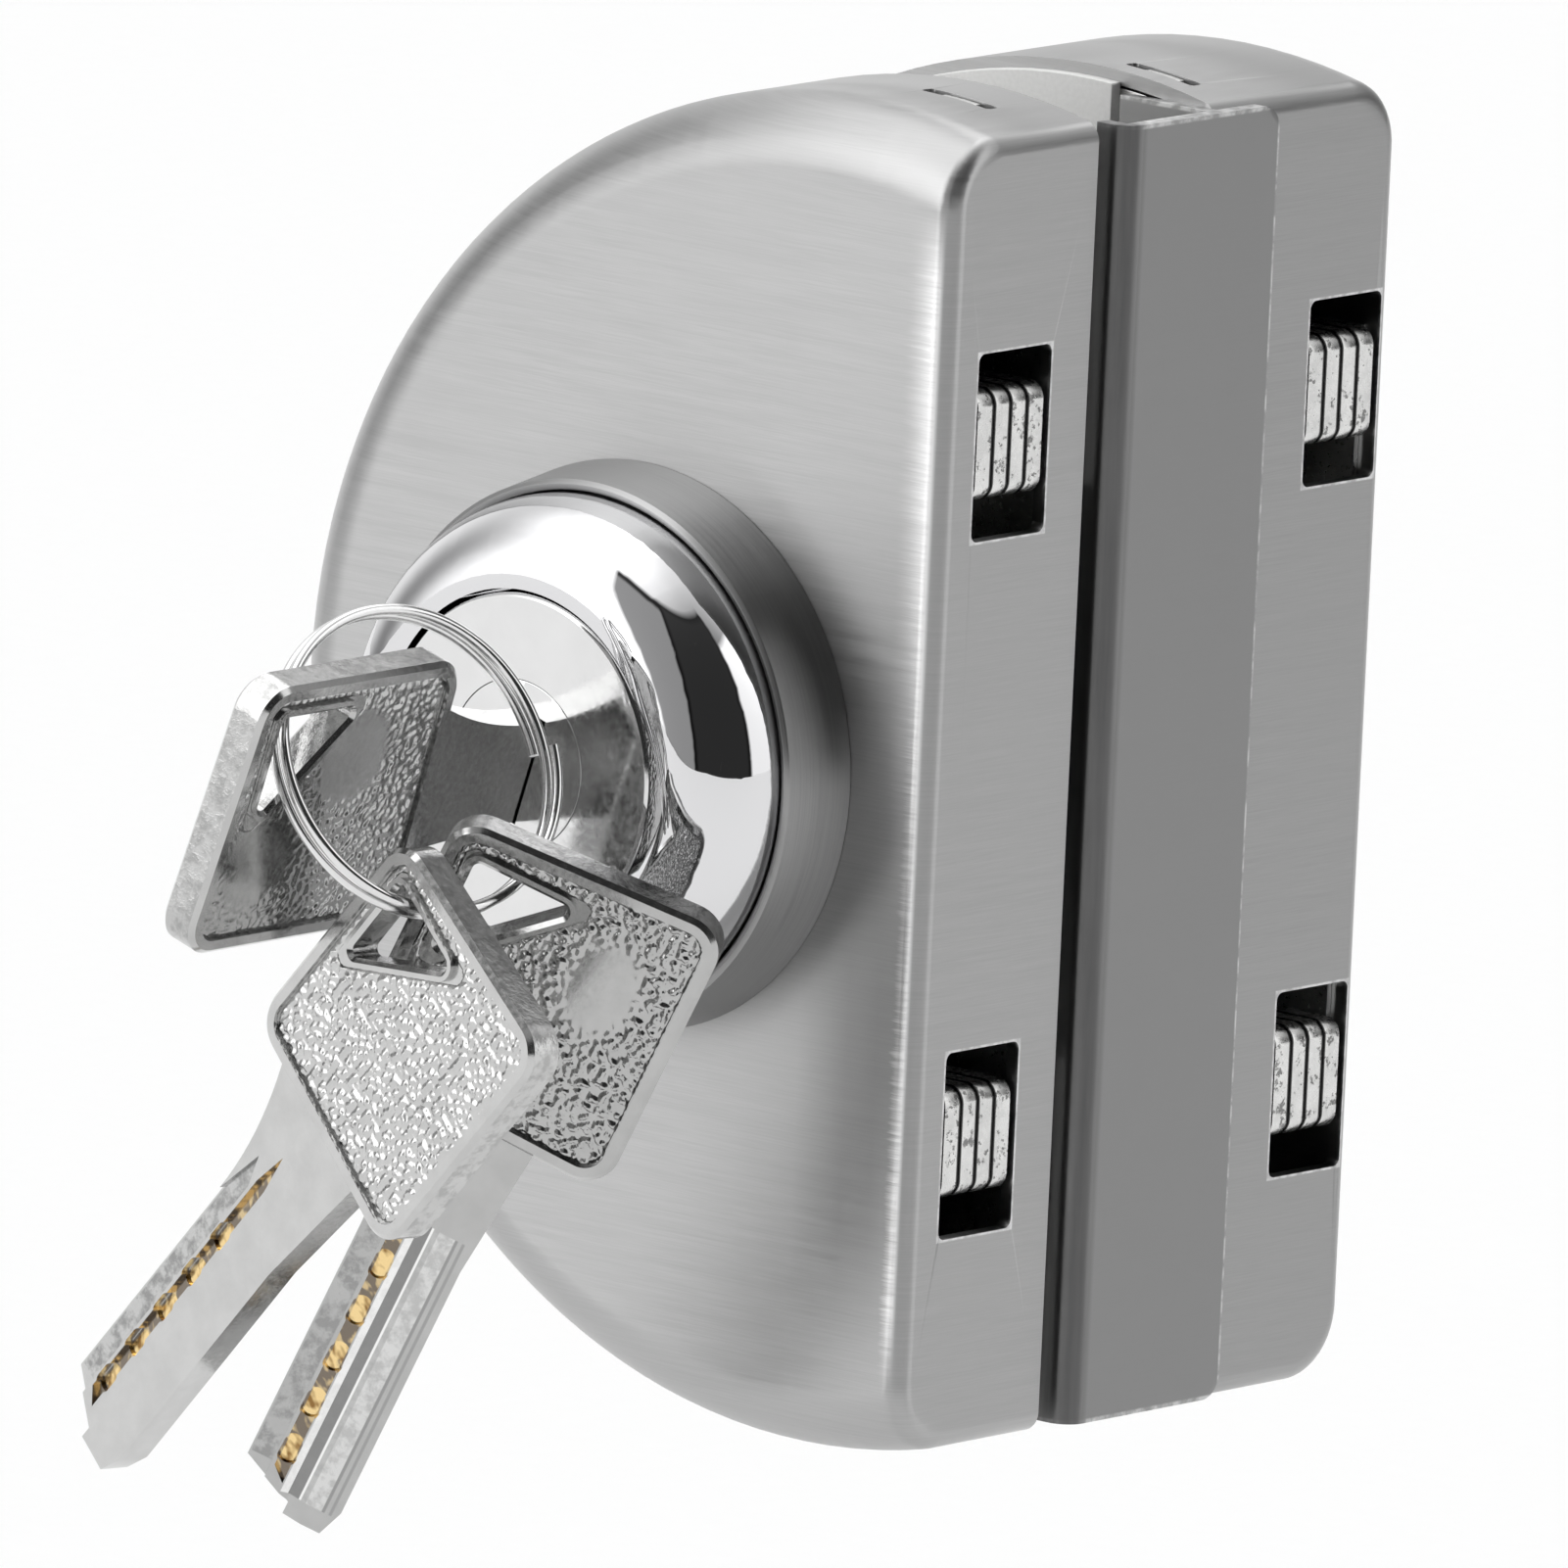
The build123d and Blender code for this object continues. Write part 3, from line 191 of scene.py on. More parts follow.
def tones(color, spread):
    """A darker and a lighter tone of a colour."""
    return tuple(c * (1 - spread) for c in color), tuple(min(1, c * (1 + spread)) for c in color)


# Materials
# Tones of the steel covers and the strip where they differ from the brushed grain: rubbed wear with a
# painted highlight at the rims and edges, a painted highlight on the fold, painted shade beside it and on
# the strip's roll.
RIM_WEAR_HIGHLIGHT_TONE, FOLD_HIGHLIGHT_TONE, FOLD_SHADE_TONE = (0.85, 0.85, 0.85), (0.92, 0.92, 0.92), (0.22, 0.22, 0.22)
STRIP_EDGE_WEAR_HIGHLIGHT_TONE, STRIP_ROLL_SHADE_TONE = (0.75, 0.75, 0.75), (0.13, 0.13, 0.13)
# How far the rims of rubbed wear and painted highlight reach round the bolt windows, in millimetres, and
# how they fade.
RIM_WIDTH, RIM_FADE = 0.2, 0.05
# The painted highlight on the front cover's fold, in millimetres: where it grows brighter in its wide
# upper and its narrow lower part, its clean outer edge, how far it goes back from the face, where the
# parts meet, and its ends.
FOLD_WIDE_X, FOLD_NARROW_X, FOLD_END_X = (9.0, 12.2), (11.2, 12.4), (12.3, 12.6)
FOLD_Y = (FRONT_FACE_Y + 0.45, FRONT_FACE_Y + 0.75)
FOLD_CHANGE_Z, FOLD_Z, FOLD_FADE_Z = (-12, 14), (-44, 44), 3
FOLD_FEATHER = 0.7
# Painted shade beside the fold's lower half, and how strong it is.
FOLD_SHADE_X, FOLD_SHADE_Z, FOLD_SHADE_FADE_X, FOLD_SHADE_FADE_Z = (4, 12), (-40, -10), 2.5, 6
FOLD_SHADE_Y = (FRONT_FACE_Y + 0.25, FRONT_FACE_Y + 0.65)
FOLD_SHADE_SHARE = 0.45
# The strip's rear edge and ends, rubbed and with a painted highlight, and painted shade on its front roll.
STRIP_EDGE_Y = (STRIP_REAR_Y - 0.27, STRIP_REAR_Y - 0.12)
STRIP_EDGE_Z = (STRIP_END_Z - 0.4, STRIP_END_Z - 0.25)
STRIP_ROLL_SHADE_X, STRIP_ROLL_SHADE_Y = (11.0, 11.5), (-3.7, -2.7)


def window_rims(s, place, tone, window_y):
    """The edges of the bolt windows in the flat side, lighter from rubbed wear and a painted highlight."""
    x, y, z = s.axes(place)
    rim = s.product(s.zone(y, (window_y[0] - RIM_WIDTH, window_y[1] + RIM_WIDTH), RIM_FADE),
                    s.zone(s.math("ABSOLUTE", z), (WINDOW_Z[0] - RIM_WIDTH, WINDOW_Z[1] + RIM_WIDTH),
                           RIM_FADE),
                    s.rise(x, (FLAT_SIDE_X - 0.3, FLAT_SIDE_X - 0.15)))
    # Rubbed wear and a painted highlight along the window rims.
    wear_and_highlight = s.span(s.noise(s.position(), scale=900, detail=3), 0.35, 0.6, 0.2, 0.9)
    return s.blend(s.product(rim, wear_and_highlight), tone, RIM_WEAR_HIGHLIGHT_TONE)


def painted_fold_highlight(s, place, tone):
    """A feathered painted highlight along the line where the brushed face stops at the fold to the flat
    side.
    """
    streaks = s.noise(s.position(scale=(90, 90, 2600)), detail=4, rough=0.8)
    x, y, z = s.axes(place)
    feathered = s.total([x, s.span(streaks, 0.25, 0.75, -FOLD_FEATHER * MM, FOLD_FEATHER * MM)])
    upper = s.rise(z, FOLD_CHANGE_Z)
    wide = s.product(s.math("POWER", s.rise(feathered, FOLD_WIDE_X), 2.0), upper)
    narrow = s.product(s.rise(feathered, FOLD_NARROW_X), s.math("SUBTRACT", 1.0, upper))
    # The painted highlight along the fold.
    line = s.product(s.total([wide, narrow]), s.rise(x, FOLD_END_X, 1, 0), s.rise(y, FOLD_Y, 1, 0),
                     s.zone(z, FOLD_Z, FOLD_FADE_Z))
    return s.blend(line, tone, FOLD_HIGHLIGHT_TONE)


def front_trim(s, place, tone):
    """The front cover's edges, lighter from rubbed wear and painted highlights, and painted shade beside
    the lower half of its fold.
    """
    x, y, z = s.axes(place)
    # Painted shade beside the lower half of the fold.
    shade_amount = s.product(s.zone(x, FOLD_SHADE_X, FOLD_SHADE_FADE_X), s.zone(z, FOLD_SHADE_Z, FOLD_SHADE_FADE_Z),
                     s.rise(y, FOLD_SHADE_Y, 1, 0))
    tone = s.blend(s.product(shade_amount, FOLD_SHADE_SHARE), tone, FOLD_SHADE_TONE)
    return painted_fold_highlight(s, place, window_rims(s, place, tone, FRONT_WINDOW_Y))


def rear_trim(s, place, tone):
    return window_rims(s, place, tone, REAR_WINDOW_Y)


def strip_trim(s, place, tone):
    """The strip's rear and end edges, lighter from rubbed wear and a painted highlight, and painted shade
    on its front roll.
    """
    x, y, z = s.axes(place)
    edge = s.math("MAXIMUM", s.rise(y, STRIP_EDGE_Y), s.rise(s.math("ABSOLUTE", z), STRIP_EDGE_Z))
    # Rubbed wear and a painted highlight on the strip's rear edge and ends.
    wear_and_highlight = s.span(s.noise(s.position(), scale=800, detail=4), 0.4, 0.6, 0.15, 0.8)
    tone = s.blend(s.product(edge, wear_and_highlight), tone, STRIP_EDGE_WEAR_HIGHLIGHT_TONE)
    # Painted shade on the strip's front roll, beside the groove to the cover.
    shade_amount = s.span(s.noise(s.position(scale=(900, 900, 60)), detail=3), 0.2, 0.7, 0.6, 0.9)
    roll = s.product(s.rise(y, STRIP_ROLL_SHADE_Y, 1, 0), s.rise(x, STRIP_ROLL_SHADE_X))
    return s.blend(s.product(roll, shade_amount), tone, STRIP_ROLL_SHADE_TONE)


# Noise scales of the brushed grain along x, y and z: fine lines and broad bands, level round the object.
FINE_GRAIN, BROAD_GRAIN = (150, 150, 9000), (40, 40, 1100)
FINE_SHARE = 0.7


def brushed(name, color, rough, streak, bump, trim):
    """Brushed steel, its grain level round the object, with a trim that changes its tone at the edges:
    wear, painted highlights and painted shade.
    """
    s = Shader(name, color, 1.0, rough)
    lines = s.noise(s.position(scale=FINE_GRAIN), detail=4, rough=0.7)
    bands = s.noise(s.position(scale=BROAD_GRAIN), detail=2)
    cloud = s.noise(s.position(), scale=45, detail=3)
    mixed = s.total([s.product(lines, FINE_SHARE), s.product(bands, 1 - FINE_SHARE)])
    dark, light = tones(color, streak)
    tone = s.blend(s.span(mixed, 0.38, 0.62), dark, light)
    tone = s.blend(s.span(cloud, *NOISE_MIDDLE, 0, 0.4), tone, color)
    s.wire(Base_Color=trim(s, s.position(), tone))
    s.wire(Roughness=s.span(mixed, *NOISE_RANGE, rough - 0.05, rough + 0.06))
    s.wire(Normal=s.bump(lines, bump))
    s.grain_round("Z", 0.7)
    return s.mat


# Noise scale of the rings that a lathe leaves, out from the axis and along it, and round it.
RING_SCALE, ROUND_SCALE = 6000, 1.5


def turned_steel(name, color, rough):
    """Steel turned on a lathe: fine rings round the cylinder's axis."""
    s = Shader(name, color, 1.0, rough)
    part = s.node("ShaderNodeSeparateXYZ")
    s.link(s.position(move=(-CYLINDER_X * MM, 0, 0)), part.inputs[0])
    x, y, z = part.outputs
    r = s.math("SQRT", s.total([s.math("POWER", x, 2), s.math("POWER", z, 2)]))
    join = s.node("ShaderNodeCombineXYZ")
    turned = s.product(s.math("ARCTAN2", z, x), ROUND_SCALE)
    for socket, value in zip(join.inputs, (s.product(r, RING_SCALE), s.product(y, RING_SCALE), turned)):
        s.link(value, socket)
    rings = s.noise(join.outputs[0], detail=4)
    dark, light = tones(color, 0.06)
    s.wire(Base_Color=s.blend(s.span(rings, *NOISE_MIDDLE), dark, light))
    s.wire(Roughness=s.span(rings, *NOISE_RANGE, rough - 0.05, rough + 0.07))
    s.wire(Normal=s.bump(rings, 1.2e-6))
    s.grain_round("Y", 0.85)
    return s.mat


def polished(name, color, rough):
    """Bright chrome with the faintest wave, a few hairlines and specks."""
    s = Shader(name, color, 1.0, rough)
    wave = s.noise(s.position(), scale=110, detail=1)
    hair = s.noise(s.position(scale=(4000, 250, 800), turn=(0.3, 0.5, 0.2)), detail=2)
    specks = s.noise(s.position(), scale=900, detail=1)
    marks = s.total([s.span(hair, 0.66, 0.8, rough, rough + 0.10), s.span(specks, 0.74, 0.8, 0.0, 0.2)])
    s.wire(Roughness=marks)
    s.wire(Normal=s.bump(wave, 5e-6))
    return s.mat


# The joints of a plate stack, dark and widened by painted shade between the plates: their half width as a
# share of the plates' pitch, and their tone.
JOINT_SHADE_FADE, JOINT_SHADE_TONE = (0.10, 0.16), (0.03, 0.03, 0.03)


def plated(name, color, rough, grain=2500, bump=6e-6, mottle=0.12, pits=0.0, stack=None):
    """Zinc or nickel plate with a faint mottle. A stack of stamped plates has dark pits, and dark joints
    widened by painted shade between the plates.
    """
    s = Shader(name, color, 1.0, rough)
    spots = s.noise(s.position(), scale=grain, detail=4)
    cloud = s.noise(s.position(), scale=300, detail=3)
    tone = s.blend(s.span(cloud, *NOISE_MIDDLE), tones(color, mottle)[0], color)
    height = spots
    if pits:
        holes = s.noise(s.position(), scale=1100, detail=3, rough=0.7)
        open_pits = s.span(holes, 0.64, 0.58)
        tone = s.blend(s.span(holes, 0.58, 0.65, 0, pits), tone, tones(color, 0.85)[0])
        height = s.total([spots, s.product(open_pits, 2.0)])
    if stack:
        first, pitch = stack
        plate = s.math("DIVIDE", s.math("SUBTRACT", s.along(s.position(), (0, 1, 0)), first), pitch)
        apart = s.math("PINGPONG", plate, 0.5)
        # Dark joints, widened by painted shade between the plates.
        joint_shade = s.product(s.span(apart, *JOINT_SHADE_FADE, 1, 0),
                          s.within(plate, 0.5, PLATES_IN_A_BOLT - 0.5, 0.05))
        tone = s.blend(joint_shade, tone, JOINT_SHADE_TONE)
    s.wire(Base_Color=tone)
    s.wire(Roughness=s.span(spots, *NOISE_RANGE, rough - 0.06, rough + 0.1))
    s.wire(Normal=s.bump(height, bump))
    return s.mat


def bolt_stack(name, node):
    """The look of a bolt's plates, whose joints divide the bolt's depth evenly."""
    low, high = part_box(node)
    gap = PLATE_GAP * MM
    pitch = (high.y - low.y + gap) / PLATES_IN_A_BOLT
    return plated(name, (0.78, 0.78, 0.77), 0.26, grain=1800, bump=1.2e-5, mottle=0.15, pits=0.8,
                  stack=(low.y - gap / 2, pitch))


def soft_seal(name, color):
    """Pale plastic that lets a little light in."""
    s = Shader(name, color, 0.0, 0.45)
    s.bsdf.inputs["Subsurface Weight"].default_value = 0.15
    s.bsdf.inputs["Subsurface Radius"].default_value = (0.001, 0.001, 0.001)
    grain = s.noise(s.position(), scale=2500, detail=3)
    s.wire(Base_Color=s.blend(s.span(grain, *NOISE_MIDDLE), tones(color, 0.06)[0], color))
    s.wire(Roughness=s.span(grain, *NOISE_RANGE, 0.38, 0.52))
    s.wire(Normal=s.bump(grain, 8e-6))
    return s.mat


# Keys
class Key:
    """A key's own axes: x along to the tip, z out of its marked face, y across."""

    def __init__(self, body, centre, along, face):
        self.body = body
        self.centre = Vector(centre) * MM
        self.z = Vector(face).normalized()
        self.x = (Vector(along) - self.z * Vector(along).dot(self.z)).normalized()
        self.y = self.z.cross(self.x)

    def point(self, x, y, z):
        return self.centre + (self.x * x + self.y * y + self.z * z) * MM


# Where the keys are in the part: the bow's centre, the way to the tip and the way of the marked face.
LEAN = math.radians(17.4)
KEYS = {
    "key_inserted": Key("key", (CYLINDER_X, -62.35, 0), (0, 1, 0), (-math.cos(LEAN), 0, math.sin(LEAN))),
    "hanging_key_front": Key("front_key", (-6.4, -62.21, -17.6), (-0.663, 0.049, -0.747),
                             (-0.123, -0.991, 0.044)),
    "hanging_key_rear": Key("rear_key", (-3.19, -51.12, -14.75), (-0.448, -0.033, -0.893),
                            (0.492, -0.843, -0.216))}

NICKEL_TONE = (0.66, 0.66, 0.655)
# How much each key's nickel is darkened, as a share of its brightness: painted shade, for all three keys
# are of one metal.
KEY_PAINTED_SHADE = {"key_inserted": 0.85, "hanging_key_front": 0.93, "hanging_key_rear": 0.76}
# Bare brass with painted highlights and shadows in the cuts, and the painted shade of the track.
BRASS_HIGHLIGHT, BRASS_SHADOW, TRACK_SHADE = (0.92, 0.69, 0.34), (0.30, 0.17, 0.06), (0.17, 0.13, 0.09)
# Zones of the blade's marked face, as x, y and z limits in the key's own millimetres: bare brass in the
# pin cuts, painted shade in the track, and worn plate on the edge groove.
BRASS_ZONE = ((24.4, 46.9), (-1.98, -0.86), (0.3, 0.84))
TRACK_ZONE = ((17.0, 47.4), (-2.2, -0.7), (0.3, 1.3))
WORN_ZONE = ((19.0, 46.0), (-4.2, -2.4), (0.9, 1.12))
ZONE_FADE = 0.03
# Painted highlight and shade drawing grooves across the rear key's land: y from and to, tone and share of
# mottle.
LAND_SHADING_X, LAND_SHADING_Z = (21.5, 48.0), (0.2, 1.5)
LAND_SHADING = [(-0.72, -0.1, 1.45, 0.2), (-0.1, 0.85, 0.42, 0.1), (0.85, 1.05, 1.4, 0.0), (1.05, 1.5, 0.8, 0.3),
        (1.5, 2.9, 1.05, 0.5), (2.9, 3.15, 0.5, 0.0), (3.5, 3.75, 0.55, 0.0)]
# Where the bow's mottled, cast edges stop along the key.
BOW_END_X = (12.0, 13.0)
# Noise coordinates of the slanted strands of painted highlight and shadow in the cuts, per metre of the
# key's x and y.
HIGHLIGHT_STRANDS_ALONG, HIGHLIGHT_STRANDS_ACROSS = (330.0, 330.0), (-750.0, 650.0)


def key_metal(name, key, painted_shade, painted_grooves):
    """Nickel plate with cast edges, darkened per key by painted shade, and bare brass in the pin cuts of
    the marked face, striped with painted highlights and shadows; painted shade in the track, and on one
    key painted grooves.
    """
    # Each key's nickel darkened by its own share: painted shade.
    nickel = tuple(c * painted_shade for c in NICKEL_TONE)
    s = Shader(name, nickel, 1.0, 0.17)
    place = s.position()
    x, y, z = s.axes(place, (key.x, key.y, key.z), key.centre)

    def inside(zone):
        return s.product(*(s.zone(value, limits, ZONE_FADE) for value, limits in zip((x, y, z), zone)))

    cloud = s.noise(place, scale=350, detail=3)
    spots = s.noise(place, scale=2200, detail=3)
    blotch = s.noise(place, scale=700, detail=4, rough=0.7)
    mottle = s.span(blotch, 0.42, 0.58)
    tone = s.blend(s.span(cloud, *NOISE_MIDDLE), tones(nickel, 0.08)[0], nickel)
    facing = s.math("ABSOLUTE", s.along(s.node("ShaderNodeTexCoord").outputs["Normal"], tuple(key.z)))
    cast_edge = s.product(s.span(facing, 0.25, 0.6, 1, 0), s.rise(x, BOW_END_X, 1, 0))
    tone = s.blend(s.product(cast_edge, s.span(blotch, 0.45, 0.6), 0.6), tone, tones(nickel, 0.5)[0])
    tone = s.blend(s.product(inside(WORN_ZONE), mottle), tone, tones(NICKEL_TONE, 0.5)[0])
    join = s.node("ShaderNodeCombineXYZ")
    for socket, (along_x, along_y) in zip(join.inputs, (HIGHLIGHT_STRANDS_ALONG, HIGHLIGHT_STRANDS_ACROSS)):
        s.link(s.total([s.product(x, along_x), s.product(y, along_y)]), socket)
    highlight_strands = s.noise(join.outputs[0], detail=2)
    # Bare brass striped with painted highlights and painted shadows.
    cut = s.blend(s.span(highlight_strands, 0.38, 0.53), BRASS_SHADOW, BRASS_HIGHLIGHT)
    # Painted shade in the track, with a little of the striped brass.
    track_shade = s.blend(s.span(highlight_strands, 0.48, 0.58, 0, 0.7), TRACK_SHADE, cut)
    tone = s.blend(s.product(inside(TRACK_ZONE), 0.85), tone, track_shade)
    # Bands of painted highlight and shade that draw grooves across the rear key's land.
    for y0, y1, level, share in LAND_SHADING if painted_grooves else []:
        shading_band = tuple(min(1.0, c * level) for c in NICKEL_TONE)
        spotted = s.blend(s.product(mottle, share), shading_band, tones(shading_band, 0.5)[0])
        tone = s.blend(inside((LAND_SHADING_X, (y0, y1), LAND_SHADING_Z)), tone, spotted)
    brass = s.product(inside(BRASS_ZONE), s.span(blotch, 0.30, 0.40))
    s.wire(Base_Color=s.blend(brass, tone, cut))
    s.wire(Roughness=s.span(spots, *NOISE_RANGE, 0.12, 0.24))
    height = s.total([spots, s.product(blotch, 1.5), s.product(blotch, cast_edge, 9.0)])
    s.wire(Normal=s.bump(height, 5e-6))
    return s.mat


# The bow's sunk field, in the key's own millimetres. It is the bow's outline moved in, less the hole.
FIELD_CORNERS = [(-11.6, -11.6), (11.6, -11.6), (12.25, 11.6), (-12.9, 11.6)]
FIELD_CORNER, FIELD_INSET = 3.0, 1.2
HOLE_CORNERS = [(-8.8, -8.8), (0.2, -8.8), (-8.8, 0.2)]
HOLE_RIM = 0.75
# Heights over the key's middle plane: the floor, how far the plate's rim lies under it and its middle
# over it, and how far the plate's underside is under it.
FIELD_FLOOR, FIELD_SINK, FIELD_BASE = 1.2, 0.03, 0.12
# How far from the field's edge the plate starts, is at its full height and has its full pebbles.
RIM_ROOM, SINK_ROOM, PEBBLE_ROOM = 0.02, 0.2, 0.45
# The grid's width and step, the pebbles' size and, on each key, their height.
GRID_WIDTH, GRID_STEP = 26, 0.17
PEBBLE_SIZE = 0.45
# How much finer the small pebbles are, their share, and the noise values between which a pebble rises.
SMALLER, SMALL_SHARE = 2.1, 0.35
PEBBLE_RISE = (-0.12, 0.38)
PEBBLE_HEIGHT = {"key_inserted": 0.12, "hanging_key_front": 0.19, "hanging_key_rear": 0.32}
# How far the noise is moved for each key and side, so that no two fields are the same, and the layer of
# it that the small pebbles are from.
KEY_SHIFT, SIDE_SHIFT, SMALL_LAYER = 40.0, 13.0, 7
# Smooth patches of the fields: centre x and y, and half sizes, by key and side. The pebbles come back
# between two shares of the half sizes.
BARE = {("key_inserted", -1): [(1.5, -4.2, 4.2, 4.6), (-6.6, 4.0, 4.6, 4.2)],
        ("hanging_key_rear", 1): [(-3.6, 4.4, 4.6, 3.2)]}
BARE_EDGE = (0.70, 1.25)


def polygon_distance(p, corners):
    """Signed distance from points to a polygon, negative inside."""
    corners = np.array(corners)
    best = np.full(len(p), 1e9)
    inside = np.zeros(len(p), bool)
    for a, b in zip(corners, np.roll(corners, -1, axis=0)):
        ab, ap = b - a, p - a
        t = np.clip(ap @ ab / (ab @ ab), 0, 1)
        best = np.minimum(best, np.hypot(*(ap - t[:, None] * ab).T))
        crosses = (a[1] > p[:, 1]) != (b[1] > p[:, 1])
        with np.errstate(divide="ignore", invalid="ignore"):
            cut = ab[0] * (p[:, 1] - a[1]) / ab[1] + a[0]
        inside ^= crosses & (p[:, 0] < cut)
    return np.where(inside, -best, best)


def smooth(value, lo, hi):
    """Rises smoothly from nought at lo to one at hi."""
    v = np.clip((value - lo) / (hi - lo), 0, 1)
    return v * v * (3 - 2 * v)


def inset_polygon(corners, depth):
    """The corners of a convex polygon, each side moved in by depth."""
    pts = [Vector(c) for c in corners]
    out = []
    for i, p in enumerate(pts):
        a, b = (p - pts[i - 1]).normalized(), (pts[(i + 1) % len(pts)] - p).normalized()
        na, nb = Vector((-a.y, a.x)), Vector((-b.y, b.x))
        out.append(tuple(p + (na + nb) * (depth / (1 + na.dot(nb)))))
    return out


def pebble_heights(grid, room, key_name, side):
    """How high each point of the grid stands in the field, where it has room."""
    rise = np.zeros(len(grid))
    shift = KEY_SHIFT * (1 + list(KEYS).index(key_name)) + SIDE_SHIFT * side
    for i in np.nonzero(room > 0)[0]:
        x, y = grid[i] / PEBBLE_SIZE
        broad = noise.noise(Vector((x + shift, y, 0)))
        small = noise.noise(Vector((x * SMALLER, y * SMALLER + shift, SMALL_LAYER)))
        rise[i] = broad + SMALL_SHARE * small
    rise = smooth(rise, *PEBBLE_RISE) * smooth(room, 0, PEBBLE_ROOM)
    for bare_x, bare_y, half_x, half_y in BARE.get((key_name, side), []):
        far = np.hypot((grid[:, 0] - bare_x) / half_x, (grid[:, 1] - bare_y) / half_y)
        rise *= smooth(far, *BARE_EDGE)
    floor_height = FIELD_FLOOR - FIELD_SINK + FIELD_SINK * 2 * smooth(room, 0, SINK_ROOM)
    return floor_height + PEBBLE_HEIGHT[key_name] * rise


def pebbled_field(key_name, side, look):
    """The cast, pebbled floor of one side of a bow, as a thin closed plate let into the key."""
    key = KEYS[key_name]
    steps = int(GRID_WIDTH / GRID_STEP)
    line = (np.arange(steps) - steps / 2) * GRID_STEP
    grid = np.stack(np.meshgrid(line, line, indexing="ij"), -1).reshape(-1, 2)
    core = inset_polygon(FIELD_CORNERS, FIELD_CORNER)
    outer = polygon_distance(grid, core) - (FIELD_CORNER - FIELD_INSET)
    room = np.minimum(-outer, polygon_distance(grid, HOLE_CORNERS) - HOLE_RIM)
    height = pebble_heights(grid, room, key_name, side)
    keep = (room > RIM_ROOM).reshape(steps, steps)
    cell = keep[:-1, :-1] & keep[1:, :-1] & keep[:-1, 1:] & keep[1:, 1:]
    bm = bmesh.new()
    made = {}

    def vert(i, j):
        if (i, j) not in made:
            k = i * steps + j
            made[i, j] = bm.verts.new(key.point(grid[k, 0], grid[k, 1], side * height[k]))
        return made[i, j]

    for i, j in zip(*np.nonzero(cell)):
        quad = [vert(i, j), vert(i + 1, j), vert(i + 1, j + 1), vert(i, j + 1)]
        bm.faces.new(quad if side > 0 else quad[::-1]).smooth = True
    rim = [e for e in bm.edges if e.is_boundary]
    walls = bmesh.ops.extrude_edge_only(bm, edges=rim)["geom"]
    sunk = {g for g in walls if isinstance(g, bmesh.types.BMVert)}
    for v in sunk:
        level = (v.co - key.centre).dot(key.z)
        v.co += key.z * (side * (FIELD_FLOOR - FIELD_BASE) * MM - level)
    low = [g for g in walls if isinstance(g, bmesh.types.BMEdge) and all(v in sunk for v in g.verts)]
    bmesh.ops.triangle_fill(bm, use_beauty=True, use_dissolve=False, edges=low)
    bmesh.ops.recalc_face_normals(bm, faces=bm.faces)
    me = bpy.data.meshes.new(key_name + "_field")
    bm.to_mesh(me)
    bm.free()
    ob = bpy.data.objects.new(key_name + ("_field_marked" if side > 0 else "_field_plain"), me)
    bpy.context.scene.collection.objects.link(ob)
    me.materials.append(look)
    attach(ob, key.body)


COVER = brushed("cover_steel", (0.44, 0.44, 0.44), 0.34, 0.07, 1.6e-6, front_trim)
# The rear cover is of the front cover's steel, painted darker: painted shade.
SHADED_REAR_COVER = brushed("rear_cover_steel", (0.39, 0.39, 0.39), 0.34, 0.07, 1.6e-6, rear_trim)
STRIP = brushed("strip_steel", (0.30, 0.30, 0.30), 0.36, 0.02, 8e-7, strip_trim)
ROSE = turned_steel("rose_steel", (0.34, 0.34, 0.34), 0.33)
CHROME = polished("dome_chrome", (0.74, 0.74, 0.75), 0.02)
HEAD = plated("cylinder_nickel", (0.78, 0.78, 0.78), 0.09, 1500, 1.5e-6, 0.04)
ZINC = plated("bright_zinc", (0.72, 0.72, 0.71), 0.30)
FRONT_BOLT = bolt_stack("front_bolt_zinc", "front_bolt_plates")
REAR_BOLT = bolt_stack("rear_bolt_zinc", "rear_bolt_plates")
SCREW = plated("screw_zinc", (0.60, 0.60, 0.60), 0.30)
DARK = plated("oiled_steel", (0.12, 0.12, 0.125), 0.38)
BRASS = plated("bare_brass", (0.72, 0.50, 0.20), 0.25)
WIRE = plated("ring_steel", (0.80, 0.80, 0.80), 0.12, 2500, 1e-6, 0.04)
SEAL = soft_seal("seal_plastic", (0.90, 0.90, 0.89))
KEY_LOOKS = {name: key_metal(name + "_nickel", key, KEY_PAINTED_SHADE[name], name == "hanging_key_rear")
             for name, key in KEYS.items()}

